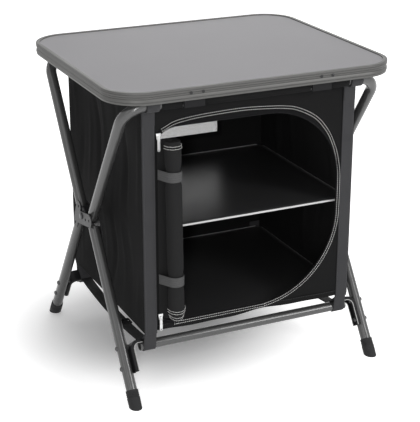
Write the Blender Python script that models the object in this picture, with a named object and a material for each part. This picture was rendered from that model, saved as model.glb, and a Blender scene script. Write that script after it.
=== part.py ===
"""Fabric camp kitchen cupboard on a folding X frame, modelled piece by piece.

Metres, +Z up. The front faces -Y and +X is the right side. The origin lies under the middle of
the tabletop, on the ground. Leg A is the frame whose top bar is at the front and whose feet are at
the back, leg B is its mirror image, and both turn about one pivot bolt on each side.
"""
import math

import bmesh
import bpy
from mathutils import Vector

# Tabletop
TABLE_WIDTH = 0.600
TABLE_DEPTH = 0.510
TABLE_HEIGHT = 0.636
TABLE_CORNER = 0.074
RIM_HEIGHT = 0.024
RIM_FLANGE = 0.0143
RIM_WALL = 0.0020
RIM_BULGE = 0.0012
RIM_LIP = 0.0070
RIM_GROOVE_SHARES = (0.28, 0.50, 0.72)
PANEL_THICKNESS = 0.0100
PANEL_RECESS = 0.0020
PANEL_STEP = 0.0010

# Leg tubes
TUBE_DIAMETER = 0.022
TUBE_WALL = 0.0015
LEG_PLANE = TABLE_WIDTH / 2 - 0.032
LEG_OFFSET = 0.021
PIVOT_SHARE = 0.5016
PIVOT_HEIGHT = TABLE_HEIGHT * PIVOT_SHARE
TOP_BAR_INSET = 0.0359
TOP_BAR_DROP = 0.0341
TOP_BEND = 0.0450
UPPER_START = 0.020
LOWER_START = 0.032
FOOT_LENGTH = 0.029
FOOT_WALL = 0.0026
FOOT_SOLE = 0.009

# Crossbars and their elbow brackets
CROSSBAR_DIAMETER = 0.020
CROSSBAR_FROM_FOOT = 0.116
CROSSBAR_OUT = 0.0065
ELBOW_WALL = 0.0024
ELBOW_FLANGE = 0.0135
ELBOW_START = LEG_PLANE - 0.0350
ELBOW_BEND = 0.0170
ELBOW_DROP = 0.0500

# Hub
PLATE_THICKNESS = 0.0022
PLATE_REACH = 0.047
PLATE_ROW_RADIUS = 0.0135
PLATE_TAIL_RADIUS = 0.0115
PLATE_HOLE = 0.0030
PLATE_ROW_SHARES = ((0.94, 0.08), (-0.53, -0.20))
PLATE_TAIL_SHARES = ((-0.33, 0.33), (-0.80, -0.56))
PLATE_HOLE_SHARES = ((0.94, 0.08), (-0.33, 0.33), (0.50, -0.01), (-0.80, -0.56))
HUB_RADIUS = 0.0198
HUB_POCKET = 0.0032
HUB_POCKET_RING = 0.0130
HUB_POCKET_DEPTH = 0.0060
HUB_POCKETS = 6
BOLT_RADIUS = 0.0040
BOLT_HEAD_RADIUS = 0.0072
BOLT_HEAD_HEIGHT = 0.0034
BOLT_DOME_SHARES = ((1.0, 0.35), (0.72, 0.85))
BOLT_TIP = 0.0020
NUT_RADIUS = 0.0066
NUT_HEIGHT = 0.0050

# Fabric cabinet
CABINET_HALF_WIDTH = TABLE_WIDTH / 2 - 0.070
CABINET_HALF_DEPTH = TABLE_DEPTH / 2 - TOP_BAR_INSET - 0.0191
CABINET_TOP = TABLE_HEIGHT - 0.036
HEM_HEIGHT = 0.134
HEM_WAVE = 0.0040
HEM_RIPPLES = ((0.7, 5.2, 0.6), (0.3, 13.0, 0.0))
HEM_POINTS = 28
CLOTH = 0.0012
FOLD_DEPTH = 0.0030
FOLDS_ACROSS = 9.0
FOLDS_UP = 7.0
SIDE_PINCH = 0.0085
OPENING_LEFT = -CABINET_HALF_WIDTH + 0.0385
OPENING_RIGHT = CABINET_HALF_WIDTH - 0.0365
OPENING_TOP = CABINET_TOP - 0.051
OPENING_BOTTOM = HEM_HEIGHT + 0.015
OPENING_WIDTH = OPENING_RIGHT - OPENING_LEFT
OPENING_HEIGHT = OPENING_TOP - OPENING_BOTTOM
OPENING_TOP_ARC = (OPENING_WIDTH * 0.408, OPENING_HEIGHT * 0.375)
OPENING_LOW_ARC = (OPENING_WIDTH * 0.460, OPENING_HEIGHT * 0.445)
OPENING_SMALL_ARC = (0.040, 0.018)
VENT_HALF_WIDTH = CABINET_HALF_WIDTH * 0.513
VENT_BORDER = 0.010
VENT_STRAND = 0.0026
VENT_COLUMNS = 10
VENT_ROWS = 5

# Boards inside
BOARD_THICKNESS = 0.0060
BOARD_EDGE = 0.0016
BOARD_CORNER = 0.012
BASE_HEIGHT = HEM_HEIGHT + 0.009
SHELF_HEIGHT = BASE_HEIGHT + (CABINET_TOP - BASE_HEIGHT) * 0.442
VENT_TOP = CABINET_TOP - 0.080
VENT_BOTTOM = SHELF_HEIGHT + 0.044
SHELF_FRONT_GAP = 0.0090
BASE_FRONT_GAP = 0.0060
BOARD_HINGE_INSET = 0.0030
TRIM_DEPTH = 0.0050
TRIM_WALL = 0.0011

# Webbing, straps and bands
WEB_WIDTH = 0.0260
WEB_CENTRE = CABINET_HALF_WIDTH - 0.0145
WEB_THICKNESS = 0.0016
WEB_TOP = CABINET_TOP - 0.015
LOOP_TAIL = 0.0250
TOP_LOOP_WIDTH = 0.0260
TOP_LOOP_LOW = CABINET_TOP - 0.044
TOP_LOOP_EASE = 0.0017
STRAP_WIDTH = 0.0240
STRAP_THICKNESS = 0.0016
STRAP_SAG = 0.0060
BUCKLE_PLACE = -0.0500
BUCKLE_WIDTH = 0.0290
BUCKLE_LENGTH = 0.0200
BUCKLE_THICKNESS = 0.0036

# Rolled door and its zip
ROLL_CENTRE = OPENING_LEFT + 0.0175
ROLL_LOW_SHIFT = 0.0050
ROLL_RADIUS = 0.0180
ROLL_CORE = 0.0040
ROLL_CLOTH = 0.0015
ROLL_TURNS = 4.5
POINTS_PER_TURN = 10
ROLL_TOP = OPENING_TOP - 0.021
ROLL_BOTTOM = OPENING_BOTTOM + 0.027
ROLL_PINCH = 0.0022
ROLL_FLAP = 0.0060
ROLL_FLAP_START = 0.0120
BAND_HEIGHT = 0.0220
BAND_THICKNESS = 0.0011
BAND_CENTRES = (ROLL_TOP - 0.0685, ROLL_BOTTOM + 0.0690)
ZIP_BAND = 0.0080
ZIP_THICKNESS = 0.0010
SLIDER_WIDTH = 0.0095
SLIDER_HEIGHT = 0.0120
SLIDER_THICKNESS = 0.0042
PULL_LENGTH = 0.0290
PULL_WIDTH = 0.0054
PULL_THICKNESS = 0.0014
PULL_HOLE = 0.0014
PULL_EASE = 0.0004
PULL_WINDOW = 0.0046
BRIDGE_SLOT = 0.0034
BRIDGE_WALL = 0.0009
BRIDGE_WIDTH = 0.0018
OVERLAP_SHARE = 0.5

# Clips that hold the tabletop on the top bars
CLIP_WIDTH = 0.0420
CLIP_CENTRE = TABLE_WIDTH * 0.2242
CLIP_WALL = 0.0042
CLIP_LIP = 0.0080
CLIP_SEAT_FROM = math.radians(52)
CLIP_RIB = 0.0030

# Fits
CLEARANCE = 0.0003
PIN_CLEARANCE = 0.0003
OVERRUN = 0.0100

TUBE_SIDES = 12
BEND_STEPS = 6
HOLE_SIDES = 12
POCKET_SIDES = 8
LOOP_STEPS = 14
STRAP_STEPS = 8
X_AXIS = Vector((1, 0, 0))
Y_AXIS = Vector((0, 1, 0))
Z_AXIS = Vector((0, 0, 1))

TUBE_RADIUS = TUBE_DIAMETER / 2
CROSSBAR_RADIUS = CROSSBAR_DIAMETER / 2
BAR_SIDEWAYS = TABLE_DEPTH / 2 - TOP_BAR_INSET
BAR_CLIMB = TABLE_HEIGHT - TOP_BAR_DROP - PIVOT_HEIGHT
TOP_BAR_REACH = math.sqrt(BAR_SIDEWAYS ** 2 + BAR_CLIMB ** 2 - LEG_OFFSET ** 2)
LEG_TILT = math.atan2(BAR_SIDEWAYS, BAR_CLIMB) - math.atan2(LEG_OFFSET, TOP_BAR_REACH)
SINE = math.sin(LEG_TILT)
COSINE = math.cos(LEG_TILT)
PIVOT = Vector((0, 0, PIVOT_HEIGHT))
FRONT = -1
BACK = 1
LEFT = -1
RIGHT = 1
SIDES = ((LEFT, "left"), (RIGHT, "right"))
ENDS = ((FRONT, "front"), (BACK, "rear"))

COLOURS = {
    "laminate": ((0.36, 0.36, 0.37), 0.55, 0.0),
    "rim": ((0.105, 0.104, 0.100), 0.38, 0.6),
    "tube": ((0.115, 0.115, 0.120), 0.36, 0.55),
    "plate": ((0.30, 0.30, 0.31), 0.40, 0.8),
    "black_plastic": ((0.018, 0.018, 0.019), 0.50, 0.0),
    "rubber": ((0.022, 0.022, 0.024), 0.75, 0.0),
    "steel": ((0.55, 0.55, 0.56), 0.28, 1.0),
    "cloth": ((0.014, 0.014, 0.016), 0.85, 0.0),
    "lining": ((0.020, 0.020, 0.022), 0.80, 0.0),
    "webbing": ((0.075, 0.075, 0.082), 0.80, 0.0),
    "strap": ((0.020, 0.020, 0.023), 0.80, 0.0),
    "elastic": ((0.085, 0.085, 0.088), 0.80, 0.0),
    "white_trim": ((0.78, 0.78, 0.78), 0.45, 0.0),
}


def clear_scene():
    for item in list(bpy.data.objects):
        bpy.data.objects.remove(item, do_unlink=True)


def material(slot):
    found = bpy.data.materials.get(slot)
    if found:
        return found
    colour, roughness, metallic = COLOURS[slot]
    made = bpy.data.materials.new(slot)
    made.use_nodes = True
    shader = made.node_tree.nodes["Principled BSDF"]
    shader.inputs["Base Color"].default_value = (*colour, 1)
    shader.inputs["Roughness"].default_value = roughness
    shader.inputs["Metallic"].default_value = metallic
    made.diffuse_color = (*colour, 1)
    return made


def finish_object(name, shape, slot, origin=None):
    """Turns a bmesh in world space into an object whose origin is the given point."""
    bmesh.ops.recalc_face_normals(shape, faces=shape.faces)
    if origin is not None:
        bmesh.ops.translate(shape, verts=shape.verts, vec=-Vector(origin))
    mesh = bpy.data.meshes.new(name)
    shape.to_mesh(mesh)
    shape.free()
    mesh.shade_smooth()
    mesh.set_sharp_from_angle(angle=math.radians(35))
    item = bpy.data.objects.new(name, mesh)
    bpy.context.collection.objects.link(item)
    if origin is not None:
        item.location = origin
    item.data.materials.append(material(slot))
    return item


def boolean(item, tool, operation="DIFFERENCE"):
    """Adds a boolean and hides its tool from the render and the build."""
    step = item.modifiers.new(tool.name, "BOOLEAN")
    step.operation = operation
    step.object = tool
    step.solver = "EXACT"
    tool.hide_render = True
    tool.display_type = "WIRE"


def arc(centre, radii, start, stop, steps):
    """Points of an elliptical arc in a plane, both ends included."""
    points = []
    for index in range(steps + 1):
        angle = start + (stop - start) * index / steps
        points.append((centre[0] + radii[0] * math.cos(angle), centre[1] + radii[1] * math.sin(angle)))
    return points


def rounded_rectangle(half_width, half_height, radius, steps):
    """Counter-clockwise outline around zero."""
    quarter = math.pi / 2
    corners = ((1, 1, 0), (-1, 1, 1), (-1, -1, 2), (1, -1, 3))
    points = []
    for x_sign, y_sign, turn in corners:
        centre = (x_sign * (half_width - radius), y_sign * (half_height - radius))
        points += arc(centre, (radius, radius), turn * quarter, (turn + 1) * quarter, steps)
    return points


def circle(radius, sides, phase=0.0):
    angles = [phase + 2 * math.pi * index / sides for index in range(sides)]
    return [(radius * math.cos(angle), radius * math.sin(angle)) for angle in angles]


def rectangle(width, height):
    a, b = width / 2, height / 2
    return [(-a, -b), (a, -b), (a, b), (-a, b)]


def bridge(shape, first, second):
    count = len(first)
    for i in range(count):
        j = (i + 1) % count
        shape.faces.new((first[i], first[j], second[j], second[i]))


def sweep_rings(shape, path, normal, section, closed=False, scales=None):
    """Rings of a section carried along a path that lies in one plane with the given normal.

    The section's first coordinate runs along the normal and its second one across the path.
    """
    rings = []
    count = len(path)
    for i, point in enumerate(path):
        before = path[i - 1] if closed or i else None
        after = path[(i + 1) % count] if closed or i + 1 < count else None
        legs = []
        if before:
            legs.append((point - before).normalized())
        if after:
            legs.append((after - point).normalized())
        tangent = sum(legs, Vector()).normalized()
        across = tangent.cross(normal).normalized()
        mitre = 1 / tangent.dot(legs[0])
        scale = scales[i] if scales else 1
        rings.append([shape.verts.new(point + normal * (a * scale) + across * (b * scale * mitre))
                      for a, b in section])
    for first, second in zip(rings, rings[1:]):
        bridge(shape, first, second)
    if closed:
        bridge(shape, rings[-1], rings[0])
    return rings


def swept(name, path, normal, section, slot, origin=None, closed=False):
    shape = bmesh.new()
    rings = sweep_rings(shape, path, normal, section, closed)
    if not closed:
        shape.faces.new(rings[0])
        shape.faces.new(rings[-1])
    return finish_object(name, shape, slot, origin)


def tube(name, path, normal, radius, wall, slot, origin=None):
    """An open-ended tube."""
    shape = bmesh.new()
    outer = sweep_rings(shape, path, normal, circle(radius, TUBE_SIDES))
    inner = sweep_rings(shape, path, normal, circle(radius - wall, TUBE_SIDES))
    bridge(shape, outer[0], inner[0])
    bridge(shape, outer[-1], inner[-1])
    return finish_object(name, shape, slot, origin)


def prism_shape(outline, base, first, second, depth):
    """A bmesh of an outline in the plane of two directions, extruded by a vector."""
    shape = bmesh.new()
    low = [shape.verts.new(base + first * a + second * b) for a, b in outline]
    high = [shape.verts.new(vert.co + depth) for vert in low]
    shape.faces.new(low)
    shape.faces.new(high)
    bridge(shape, low, high)
    return shape


def prism(name, outline, base, first, second, depth, slot, origin=None):
    return finish_object(name, prism_shape(outline, base, first, second, depth), slot, origin)


def rod(name, start, stop, radius, sides, slot="steel"):
    """A plain round bar between two points, used as a tool or a pin."""
    axis = (stop - start).normalized()
    first = axis.orthogonal().normalized()
    return prism(name, circle(radius, sides), start, first, axis.cross(first), stop - start, slot)


def lathe(name, profile, centre, axis, sides, slot, origin=None):
    """Turns a closed profile of (radius, height) points about an axis through the centre."""
    shape = bmesh.new()
    first = axis.orthogonal().normalized()
    second = axis.cross(first)
    rings = []
    for radius, height in profile:
        spot = centre + axis * height
        if radius == 0:
            rings.append([shape.verts.new(spot)])
        else:
            ring = circle(radius, sides)
            rings.append([shape.verts.new(spot + first * a + second * b) for a, b in ring])
    pairs = list(zip(rings, rings[1:]))
    if len(rings[0]) > 1:
        pairs.append((rings[-1], rings[0]))
    for low, high in pairs:
        if len(low) == 1 or len(high) == 1:
            tip, ring = (low[0], high) if len(low) == 1 else (high[0], low)
            for i in range(len(ring)):
                shape.faces.new((tip, ring[i], ring[(i + 1) % len(ring)]))
        else:
            bridge(shape, low, high)
    return finish_object(name, shape, slot, origin)


def leg_point(end, upper, reach, x=0.0):
    """A point on a leg tube's axis: end is the side of the pivot that the tube leans to."""
    lift = -LEG_OFFSET * SINE + reach * COSINE if upper else LEG_OFFSET * SINE - reach * COSINE
    return Vector((x, end * (LEG_OFFSET * COSINE + reach * SINE), PIVOT_HEIGHT + lift))


def leg_direction(end, upper):
    return Vector((0, end * SINE, COSINE if upper else -COSINE))


def leg_outward(end, upper):
    """Square to the tube in its plane, away from the pivot's vertical line."""
    return Vector((0, end * COSINE, -SINE if upper else SINE))


def foot_reach():
    """Distance along a lower tube at which its axis meets the ground."""
    return (PIVOT_HEIGHT + LEG_OFFSET * SINE) / COSINE


def top_bar_centre(end):
    return leg_point(end, True, TOP_BAR_REACH)


def crossbar_centre(end):
    reach = foot_reach() - CROSSBAR_FROM_FOOT
    return leg_point(end, False, reach) + leg_outward(end, False) * CROSSBAR_OUT


# Frame

def upper_frame(end, word):
    """U-shaped tube: up one side, across under the tabletop and down the other side."""
    along = leg_direction(end, True)
    bend_low = TOP_BAR_REACH - TOP_BEND
    straight = LEG_PLANE - TOP_BEND
    half = [leg_point(end, True, UPPER_START, LEG_PLANE)]
    bend = arc((straight, bend_low), (TOP_BEND, TOP_BEND), 0, math.pi / 2, BEND_STEPS)
    half += [leg_point(end, True, climb, across) for across, climb in bend]
    path = half + [Vector((-p.x, p.y, p.z)) for p in reversed(half)]
    normal = along.cross(X_AXIS)
    return tube(f"upper_frame_{word}", path, normal, TUBE_RADIUS, TUBE_WALL, "tube", PIVOT)


def lower_tube(end, word, side, side_word):
    stop = foot_reach() - FOOT_SOLE / COSINE - TUBE_RADIUS * SINE / COSINE
    path = [leg_point(end, False, reach, side * LEG_PLANE) for reach in (LOWER_START, stop)]
    name = f"lower_leg_{word}_{side_word}"
    return tube(name, path, X_AXIS, TUBE_RADIUS, TUBE_WALL, "tube", PIVOT)


def foot(end, word, side, side_word):
    """Rubber cup on the tube's end, cut level with the ground."""
    axis = leg_direction(end, False)
    ground = foot_reach()
    centre = leg_point(end, False, ground, side * LEG_PLANE)
    inner = TUBE_RADIUS + CLEARANCE
    outer = inner + FOOT_WALL
    floor = -(FOOT_SOLE / COSINE + TUBE_RADIUS * SINE / COSINE) + CLEARANCE
    rim = -FOOT_LENGTH
    swell = outer + FOOT_WALL / 3
    profile = [(0, outer), (outer, outer), (swell, floor), (swell, floor + rim / 4),
               (outer, floor + rim * 3 / 4), (outer, floor + rim), (inner, floor + rim), (inner, floor),
               (0, floor)]
    sides = TUBE_SIDES * 3 // 2
    cup = lathe(f"foot_{word}_{side_word}", profile, centre, axis, sides, "rubber", PIVOT)
    ground_box = bpy.data.objects.get("ground_cutter") or ground_cutter()
    boolean(cup, ground_box)
    return cup


def ground_cutter():
    reach = TABLE_WIDTH
    base = Vector((0, 0, -reach))
    outline = rectangle(2 * reach, 2 * reach)
    return prism("ground_cutter", outline, base, X_AXIS, Y_AXIS, Z_AXIS * reach, "rubber")


def crossbar(end, word):
    centre = crossbar_centre(end)
    half = LEG_PLANE - TUBE_RADIUS - ELBOW_BEND - CLEARANCE * 2
    path = [centre - X_AXIS * half, centre + X_AXIS * half]
    return tube(f"crossbar_{word}", path, Y_AXIS, CROSSBAR_RADIUS, TUBE_WALL, "tube", PIVOT)


def elbow(end, word, side, side_word):
    """Channel bracket: it covers the crossbar's end and turns down along the leg's inner side."""
    down = leg_direction(end, False)
    outward = leg_outward(end, False)
    back_plane = LEG_PLANE - TUBE_RADIUS - CLEARANCE
    roof = CROSSBAR_RADIUS + CLEARANCE + ELBOW_WALL
    base = crossbar_centre(end)
    base.x = 0
    path = [base + X_AXIS * (side * ELBOW_START) - down * roof]
    centre = (back_plane - ELBOW_BEND, roof - ELBOW_BEND)
    bend = arc(centre, (ELBOW_BEND, ELBOW_BEND), math.pi / 2, 0, BEND_STEPS)
    path += [base + X_AXIS * (side * across) - down * up for across, up in bend]
    path.append(base + X_AXIS * (side * back_plane) + down * ELBOW_DROP)
    inner = CROSSBAR_RADIUS + CLEARANCE
    outer = inner + ELBOW_WALL
    half = [(outer, 0), (outer, ELBOW_FLANGE), (inner, ELBOW_FLANGE), (inner, ELBOW_WALL)]
    section = half + [(-a, b) for a, b in reversed(half)]
    normal = outward * side
    turned = [(a, b * elbow_hand(path, normal)) for a, b in section]
    return swept(f"elbow_{word}_{side_word}", path, normal, turned, "black_plastic", PIVOT)


def elbow_hand(path, normal):
    """Tells on which side of the path the inside of its bend lies."""
    first = (path[1] - path[0]).normalized()
    turn = (path[-1] - path[-2]).normalized() - first
    return 1 if first.cross(normal).dot(turn) > 0 else -1


# Hub

def stadium(first, second, radius, steps=8):
    """Outline of two half circles joined by straight sides, around two points."""
    heading = math.atan2(second[1] - first[1], second[0] - first[0])
    quarter = math.pi / 2
    points = arc(second, (radius, radius), heading - quarter, heading + quarter, steps)
    points += arc(first, (radius, radius), heading + quarter, heading + 3 * quarter, steps)
    return points


def hub_plate(end, word, side, side_word, inner_face):
    """Perforated gusset of one leg: a long row of holes and a shorter tail toward the lower tube."""
    inwards = LEG_PLANE - TUBE_RADIUS - CLEARANCE
    outwards = LEG_PLANE + TUBE_RADIUS + CLEARANCE
    start = inwards - PLATE_THICKNESS if inner_face else outwards
    base = Vector((side * start, 0, PIVOT_HEIGHT))
    along = Y_AXIS * end
    row = stadium(*[plate_spot(shares) for shares in PLATE_ROW_SHARES], PLATE_ROW_RADIUS)
    tail = stadium(*[plate_spot(shares) for shares in PLATE_TAIL_SHARES], PLATE_TAIL_RADIUS)
    depth = X_AXIS * (side * PLATE_THICKNESS)
    name = f"{word}_{side_word}"
    plate = prism(f"hub_plate_{name}", row, base, along, Z_AXIS, depth, "plate", PIVOT)
    boolean(plate, prism(f"tail_{name}", tail, base, along, Z_AXIS, depth, "plate"), "UNION")
    spots = [(plate_spot(shares), PLATE_HOLE) for shares in PLATE_HOLE_SHARES]
    spots.append(((0, 0), BOLT_RADIUS + PIN_CLEARANCE))
    for index, ((a, b), radius) in enumerate(spots):
        middle = base + along * a + Z_AXIS * b
        reach = X_AXIS * OVERRUN
        hole = rod(f"hole_{name}_{index}", middle - reach, middle + reach, radius, HOLE_SIDES)
        boolean(plate, hole)
    return plate


def plate_spot(shares):
    """A place on the hub plate, in shares of its reach from the pivot."""
    return (PLATE_REACH * shares[0], PLATE_REACH * shares[1])


def hub_spacer(side, side_word):
    """Plastic spacer between the two plates of one side, with a ring of moulded pockets."""
    inwards = LEG_PLANE - TUBE_RADIUS
    outwards = LEG_PLANE + TUBE_RADIUS
    hole = BOLT_RADIUS + PIN_CLEARANCE
    chamfer = HUB_RADIUS / 12
    profile = [(hole, inwards), (HUB_RADIUS - chamfer, inwards), (HUB_RADIUS, inwards + chamfer),
               (HUB_RADIUS, outwards - chamfer), (HUB_RADIUS - chamfer, outwards), (hole, outwards)]
    name = f"hub_spacer_{side_word}"
    spacer = lathe(name, profile, PIVOT, X_AXIS * side, 2 * HOLE_SIDES, "black_plastic", PIVOT)
    for index, (a, b) in enumerate(circle(HUB_POCKET_RING, HUB_POCKETS)):
        spot = PIVOT + Y_AXIS * a + Z_AXIS * b
        start = spot + X_AXIS * (side * (outwards - HUB_POCKET_DEPTH))
        stop = spot + X_AXIS * (side * (outwards + OVERRUN))
        boolean(spacer, rod(f"pocket_{side_word}_{index}", start, stop, HUB_POCKET, POCKET_SIDES))
    return spacer


def pivot_bolt(side, side_word):
    """Domed head outside, shank through both plates and the spacer, nut inside."""
    plates_out = LEG_PLANE + TUBE_RADIUS + CLEARANCE + PLATE_THICKNESS + CLEARANCE
    plates_in = LEG_PLANE - TUBE_RADIUS - CLEARANCE - PLATE_THICKNESS - CLEARANCE
    nut_end = plates_in - NUT_HEIGHT
    profile = [(0, nut_end - BOLT_TIP), (BOLT_RADIUS, nut_end - BOLT_TIP), (BOLT_RADIUS, nut_end),
               (NUT_RADIUS, nut_end), (NUT_RADIUS, plates_in), (BOLT_RADIUS, plates_in),
               (BOLT_RADIUS, plates_out), (BOLT_HEAD_RADIUS, plates_out)]
    for across, up in BOLT_DOME_SHARES:
        profile.append((BOLT_HEAD_RADIUS * across, plates_out + BOLT_HEAD_HEIGHT * up))
    profile.append((0, plates_out + BOLT_HEAD_HEIGHT))
    name = f"pivot_bolt_{side_word}"
    return lathe(name, profile, PIVOT, X_AXIS * side, HOLE_SIDES, "steel", PIVOT)


# Tabletop

def closed_path(half_width, half_depth, radius, height, steps):
    return [Vector((x, y, height)) for x, y in rounded_rectangle(half_width, half_depth, radius, steps)]


def tabletop_rim():
    """Extruded edging: a bulged outer wall, a top flange over the panel and a lip under it."""
    slot_top = -PANEL_RECESS - PANEL_STEP + CLEARANCE
    ledge = -PANEL_RECESS - PANEL_THICKNESS - CLEARANCE
    inner = -RIM_WALL - RIM_BULGE
    groove_high, groove, groove_low = [-RIM_HEIGHT * share for share in RIM_GROOVE_SHARES]
    profile = [(0, -RIM_WALL), (-RIM_WALL, 0), (-RIM_FLANGE + RIM_WALL / 2, 0),
               (-RIM_FLANGE, -RIM_WALL / 2), (-RIM_FLANGE, slot_top), (-RIM_LIP, slot_top), (-RIM_LIP, ledge),
               (-RIM_FLANGE, ledge), (-RIM_FLANGE, ledge - RIM_WALL), (inner, ledge - RIM_WALL),
               (inner, -RIM_HEIGHT), (-RIM_BULGE, -RIM_HEIGHT), (0, groove_low), (-RIM_BULGE, groove),
               (0, groove_high)]
    path = closed_path(TABLE_WIDTH / 2, TABLE_DEPTH / 2, TABLE_CORNER, TABLE_HEIGHT, BEND_STEPS)
    shape = bmesh.new()
    sweep_rings(shape, path, Z_AXIS, [(up, out) for out, up in profile], closed=True)
    return finish_object("tabletop_rim", shape, "rim")


def tabletop_panel():
    """Board whose edge is rebated to slide into the edging, so that its top field lies free."""
    top = TABLE_HEIGHT - PANEL_RECESS
    hidden, field = RIM_LIP + CLEARANCE, RIM_FLANGE + CLEARANCE
    shape = bmesh.new()
    rings = []
    for inset, height in ((hidden, top - PANEL_THICKNESS), (hidden, top - PANEL_STEP),
                          (field, top - PANEL_STEP), (field, top)):
        path = closed_path(TABLE_WIDTH / 2 - inset, TABLE_DEPTH / 2 - inset, TABLE_CORNER - inset, height,
                           BEND_STEPS)
        rings.append([shape.verts.new(point) for point in path])
    for first, second in zip(rings, rings[1:]):
        bridge(shape, first, second)
    shape.faces.new(rings[0])
    shape.faces.new(rings[-1])
    return finish_object("tabletop_panel", shape, "laminate")


def bar_clip(end, word, side, side_word):
    """Hook under the panel: it sits over the top bar and is open to the inside and below."""
    bar = top_bar_centre(end)
    seat = TUBE_RADIUS + CLEARANCE
    rim_inner = TABLE_DEPTH / 2 - RIM_FLANGE - CLEARANCE
    top = TABLE_HEIGHT - PANEL_RECESS - PANEL_THICKNESS - CLEARANCE
    lip_under = top - RIM_WALL - CLEARANCE
    bar_out = abs(bar.y)
    wall_inner = TABLE_DEPTH / 2 - RIM_WALL - RIM_BULGE - CLEARANCE
    outer = min(bar_out + seat + CLIP_WALL, rim_inner)
    seat_arc = arc((bar_out, bar.z), (seat, seat), math.pi - CLIP_SEAT_FROM, 0, 8)
    inner_end = seat_arc[0]
    low = bar.z - CLIP_LIP
    outline = [(inner_end[0] - CLIP_WALL, top), (inner_end[0] - CLIP_WALL, inner_end[1])]
    outline += seat_arc
    outline += [(bar_out + seat, low), (outer, low - CLIP_RIB / 2), (outer, lip_under)]
    outline += [(wall_inner, lip_under - CLIP_RIB), (wall_inner, lip_under), (rim_inner, lip_under)]
    outline.append((rim_inner, top))
    base = Vector((side * CLIP_CENTRE - CLIP_WIDTH / 2, 0, 0))
    name = f"bar_clip_{word}_{side_word}"
    return prism(name, outline, base, Y_AXIS * end, Z_AXIS, X_AXIS * CLIP_WIDTH, "black_plastic")


def build_frame():
    for end, word in ENDS:
        upper_frame(end, word)
        crossbar(end, word)
        for side, side_word in SIDES:
            lower_tube(end, word, side, side_word)
            foot(end, word, side, side_word)
            elbow(end, word, side, side_word)
            hub_plate(end, word, side, side_word, inner_face=end == BACK)
    for side, side_word in SIDES:
        hub_spacer(side, side_word)
        pivot_bolt(side, side_word)


def build_tabletop():
    tabletop_rim()
    tabletop_panel()
    for end, word in ENDS:
        for side, side_word in SIDES:
            bar_clip(end, word, side, side_word)


# Fabric cabinet

def opening_corners(grow):
    """Centres, radii and start angles of the four corner arcs of the door opening."""
    left, right = OPENING_LEFT - grow, OPENING_RIGHT + grow
    low, top = OPENING_BOTTOM - grow, OPENING_TOP + grow
    corners = []
    quarters = ((right, top, OPENING_TOP_ARC), (left, top, OPENING_SMALL_ARC), (left, low, OPENING_SMALL_ARC),
                (right, low, OPENING_LOW_ARC))
    for turn, (x_edge, z_edge, (across, up)) in enumerate(quarters):
        radii = (across + grow, up + grow)
        x_sign = 1 if x_edge == left else -1
        z_sign = 1 if z_edge == low else -1
        centre = (x_edge + x_sign * radii[0], z_edge + z_sign * radii[1])
        corners.append((centre, radii, turn * math.pi / 2))
    return corners


def opening_outline(grow, steps):
    """The D-shaped door opening in the front plane, counter-clockwise from its right side."""
    points = []
    for centre, radii, start in opening_corners(grow):
        points += arc(centre, radii, start, start + math.pi / 2, steps)
    return points


def reach_outline(outline, centre, angle):
    """Where a ray from the centre meets a closed outline."""
    heading = (math.cos(angle), math.sin(angle))
    best = 0.0
    for (ax, ay), (bx, by) in zip(outline, outline[1:] + outline[:1]):
        edge = (bx - ax, by - ay)
        cross = heading[0] * edge[1] - heading[1] * edge[0]
        if cross == 0:
            continue
        start = (ax - centre[0], ay - centre[1])
        distance = (start[0] * edge[1] - start[1] * edge[0]) / cross
        share = (start[0] * heading[1] - start[1] * heading[0]) / cross
        if 0 <= share <= 1 and distance > best:
            best = distance
    return centre[0] + heading[0] * best, centre[1] + heading[1] * best


def wall_outline():
    """Edge of the front and rear walls: the hem hangs in shallow waves."""
    points = [(CABINET_HALF_WIDTH, CABINET_TOP), (-CABINET_HALF_WIDTH, CABINET_TOP)]
    for index in range(HEM_POINTS + 1):
        share = 2 * index / HEM_POINTS - 1
        points.append((CABINET_HALF_WIDTH * share, HEM_HEIGHT + HEM_WAVE * hem_wave(share)))
    return points


def hem_wave(share):
    """Slack of the hem across its width: level at both corners."""
    ripples = [size * math.sin(pace * share + shift) for size, pace, shift in HEM_RIPPLES]
    return sum(ripples) * (1 - share * share)


def wall_folds(x, z):
    """Depth of the cloth's soft folds: both walls sway to the rear, clear of what is sewn on them."""
    fade = max(0.0, 1 - (x / (WEB_CENTRE - WEB_WIDTH)) ** 2)
    ripple = math.sin(x / CABINET_HALF_WIDTH * FOLDS_ACROSS + z / CABINET_TOP * FOLDS_UP)
    return FOLD_DEPTH * fade * (1 + ripple) / 2


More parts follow.
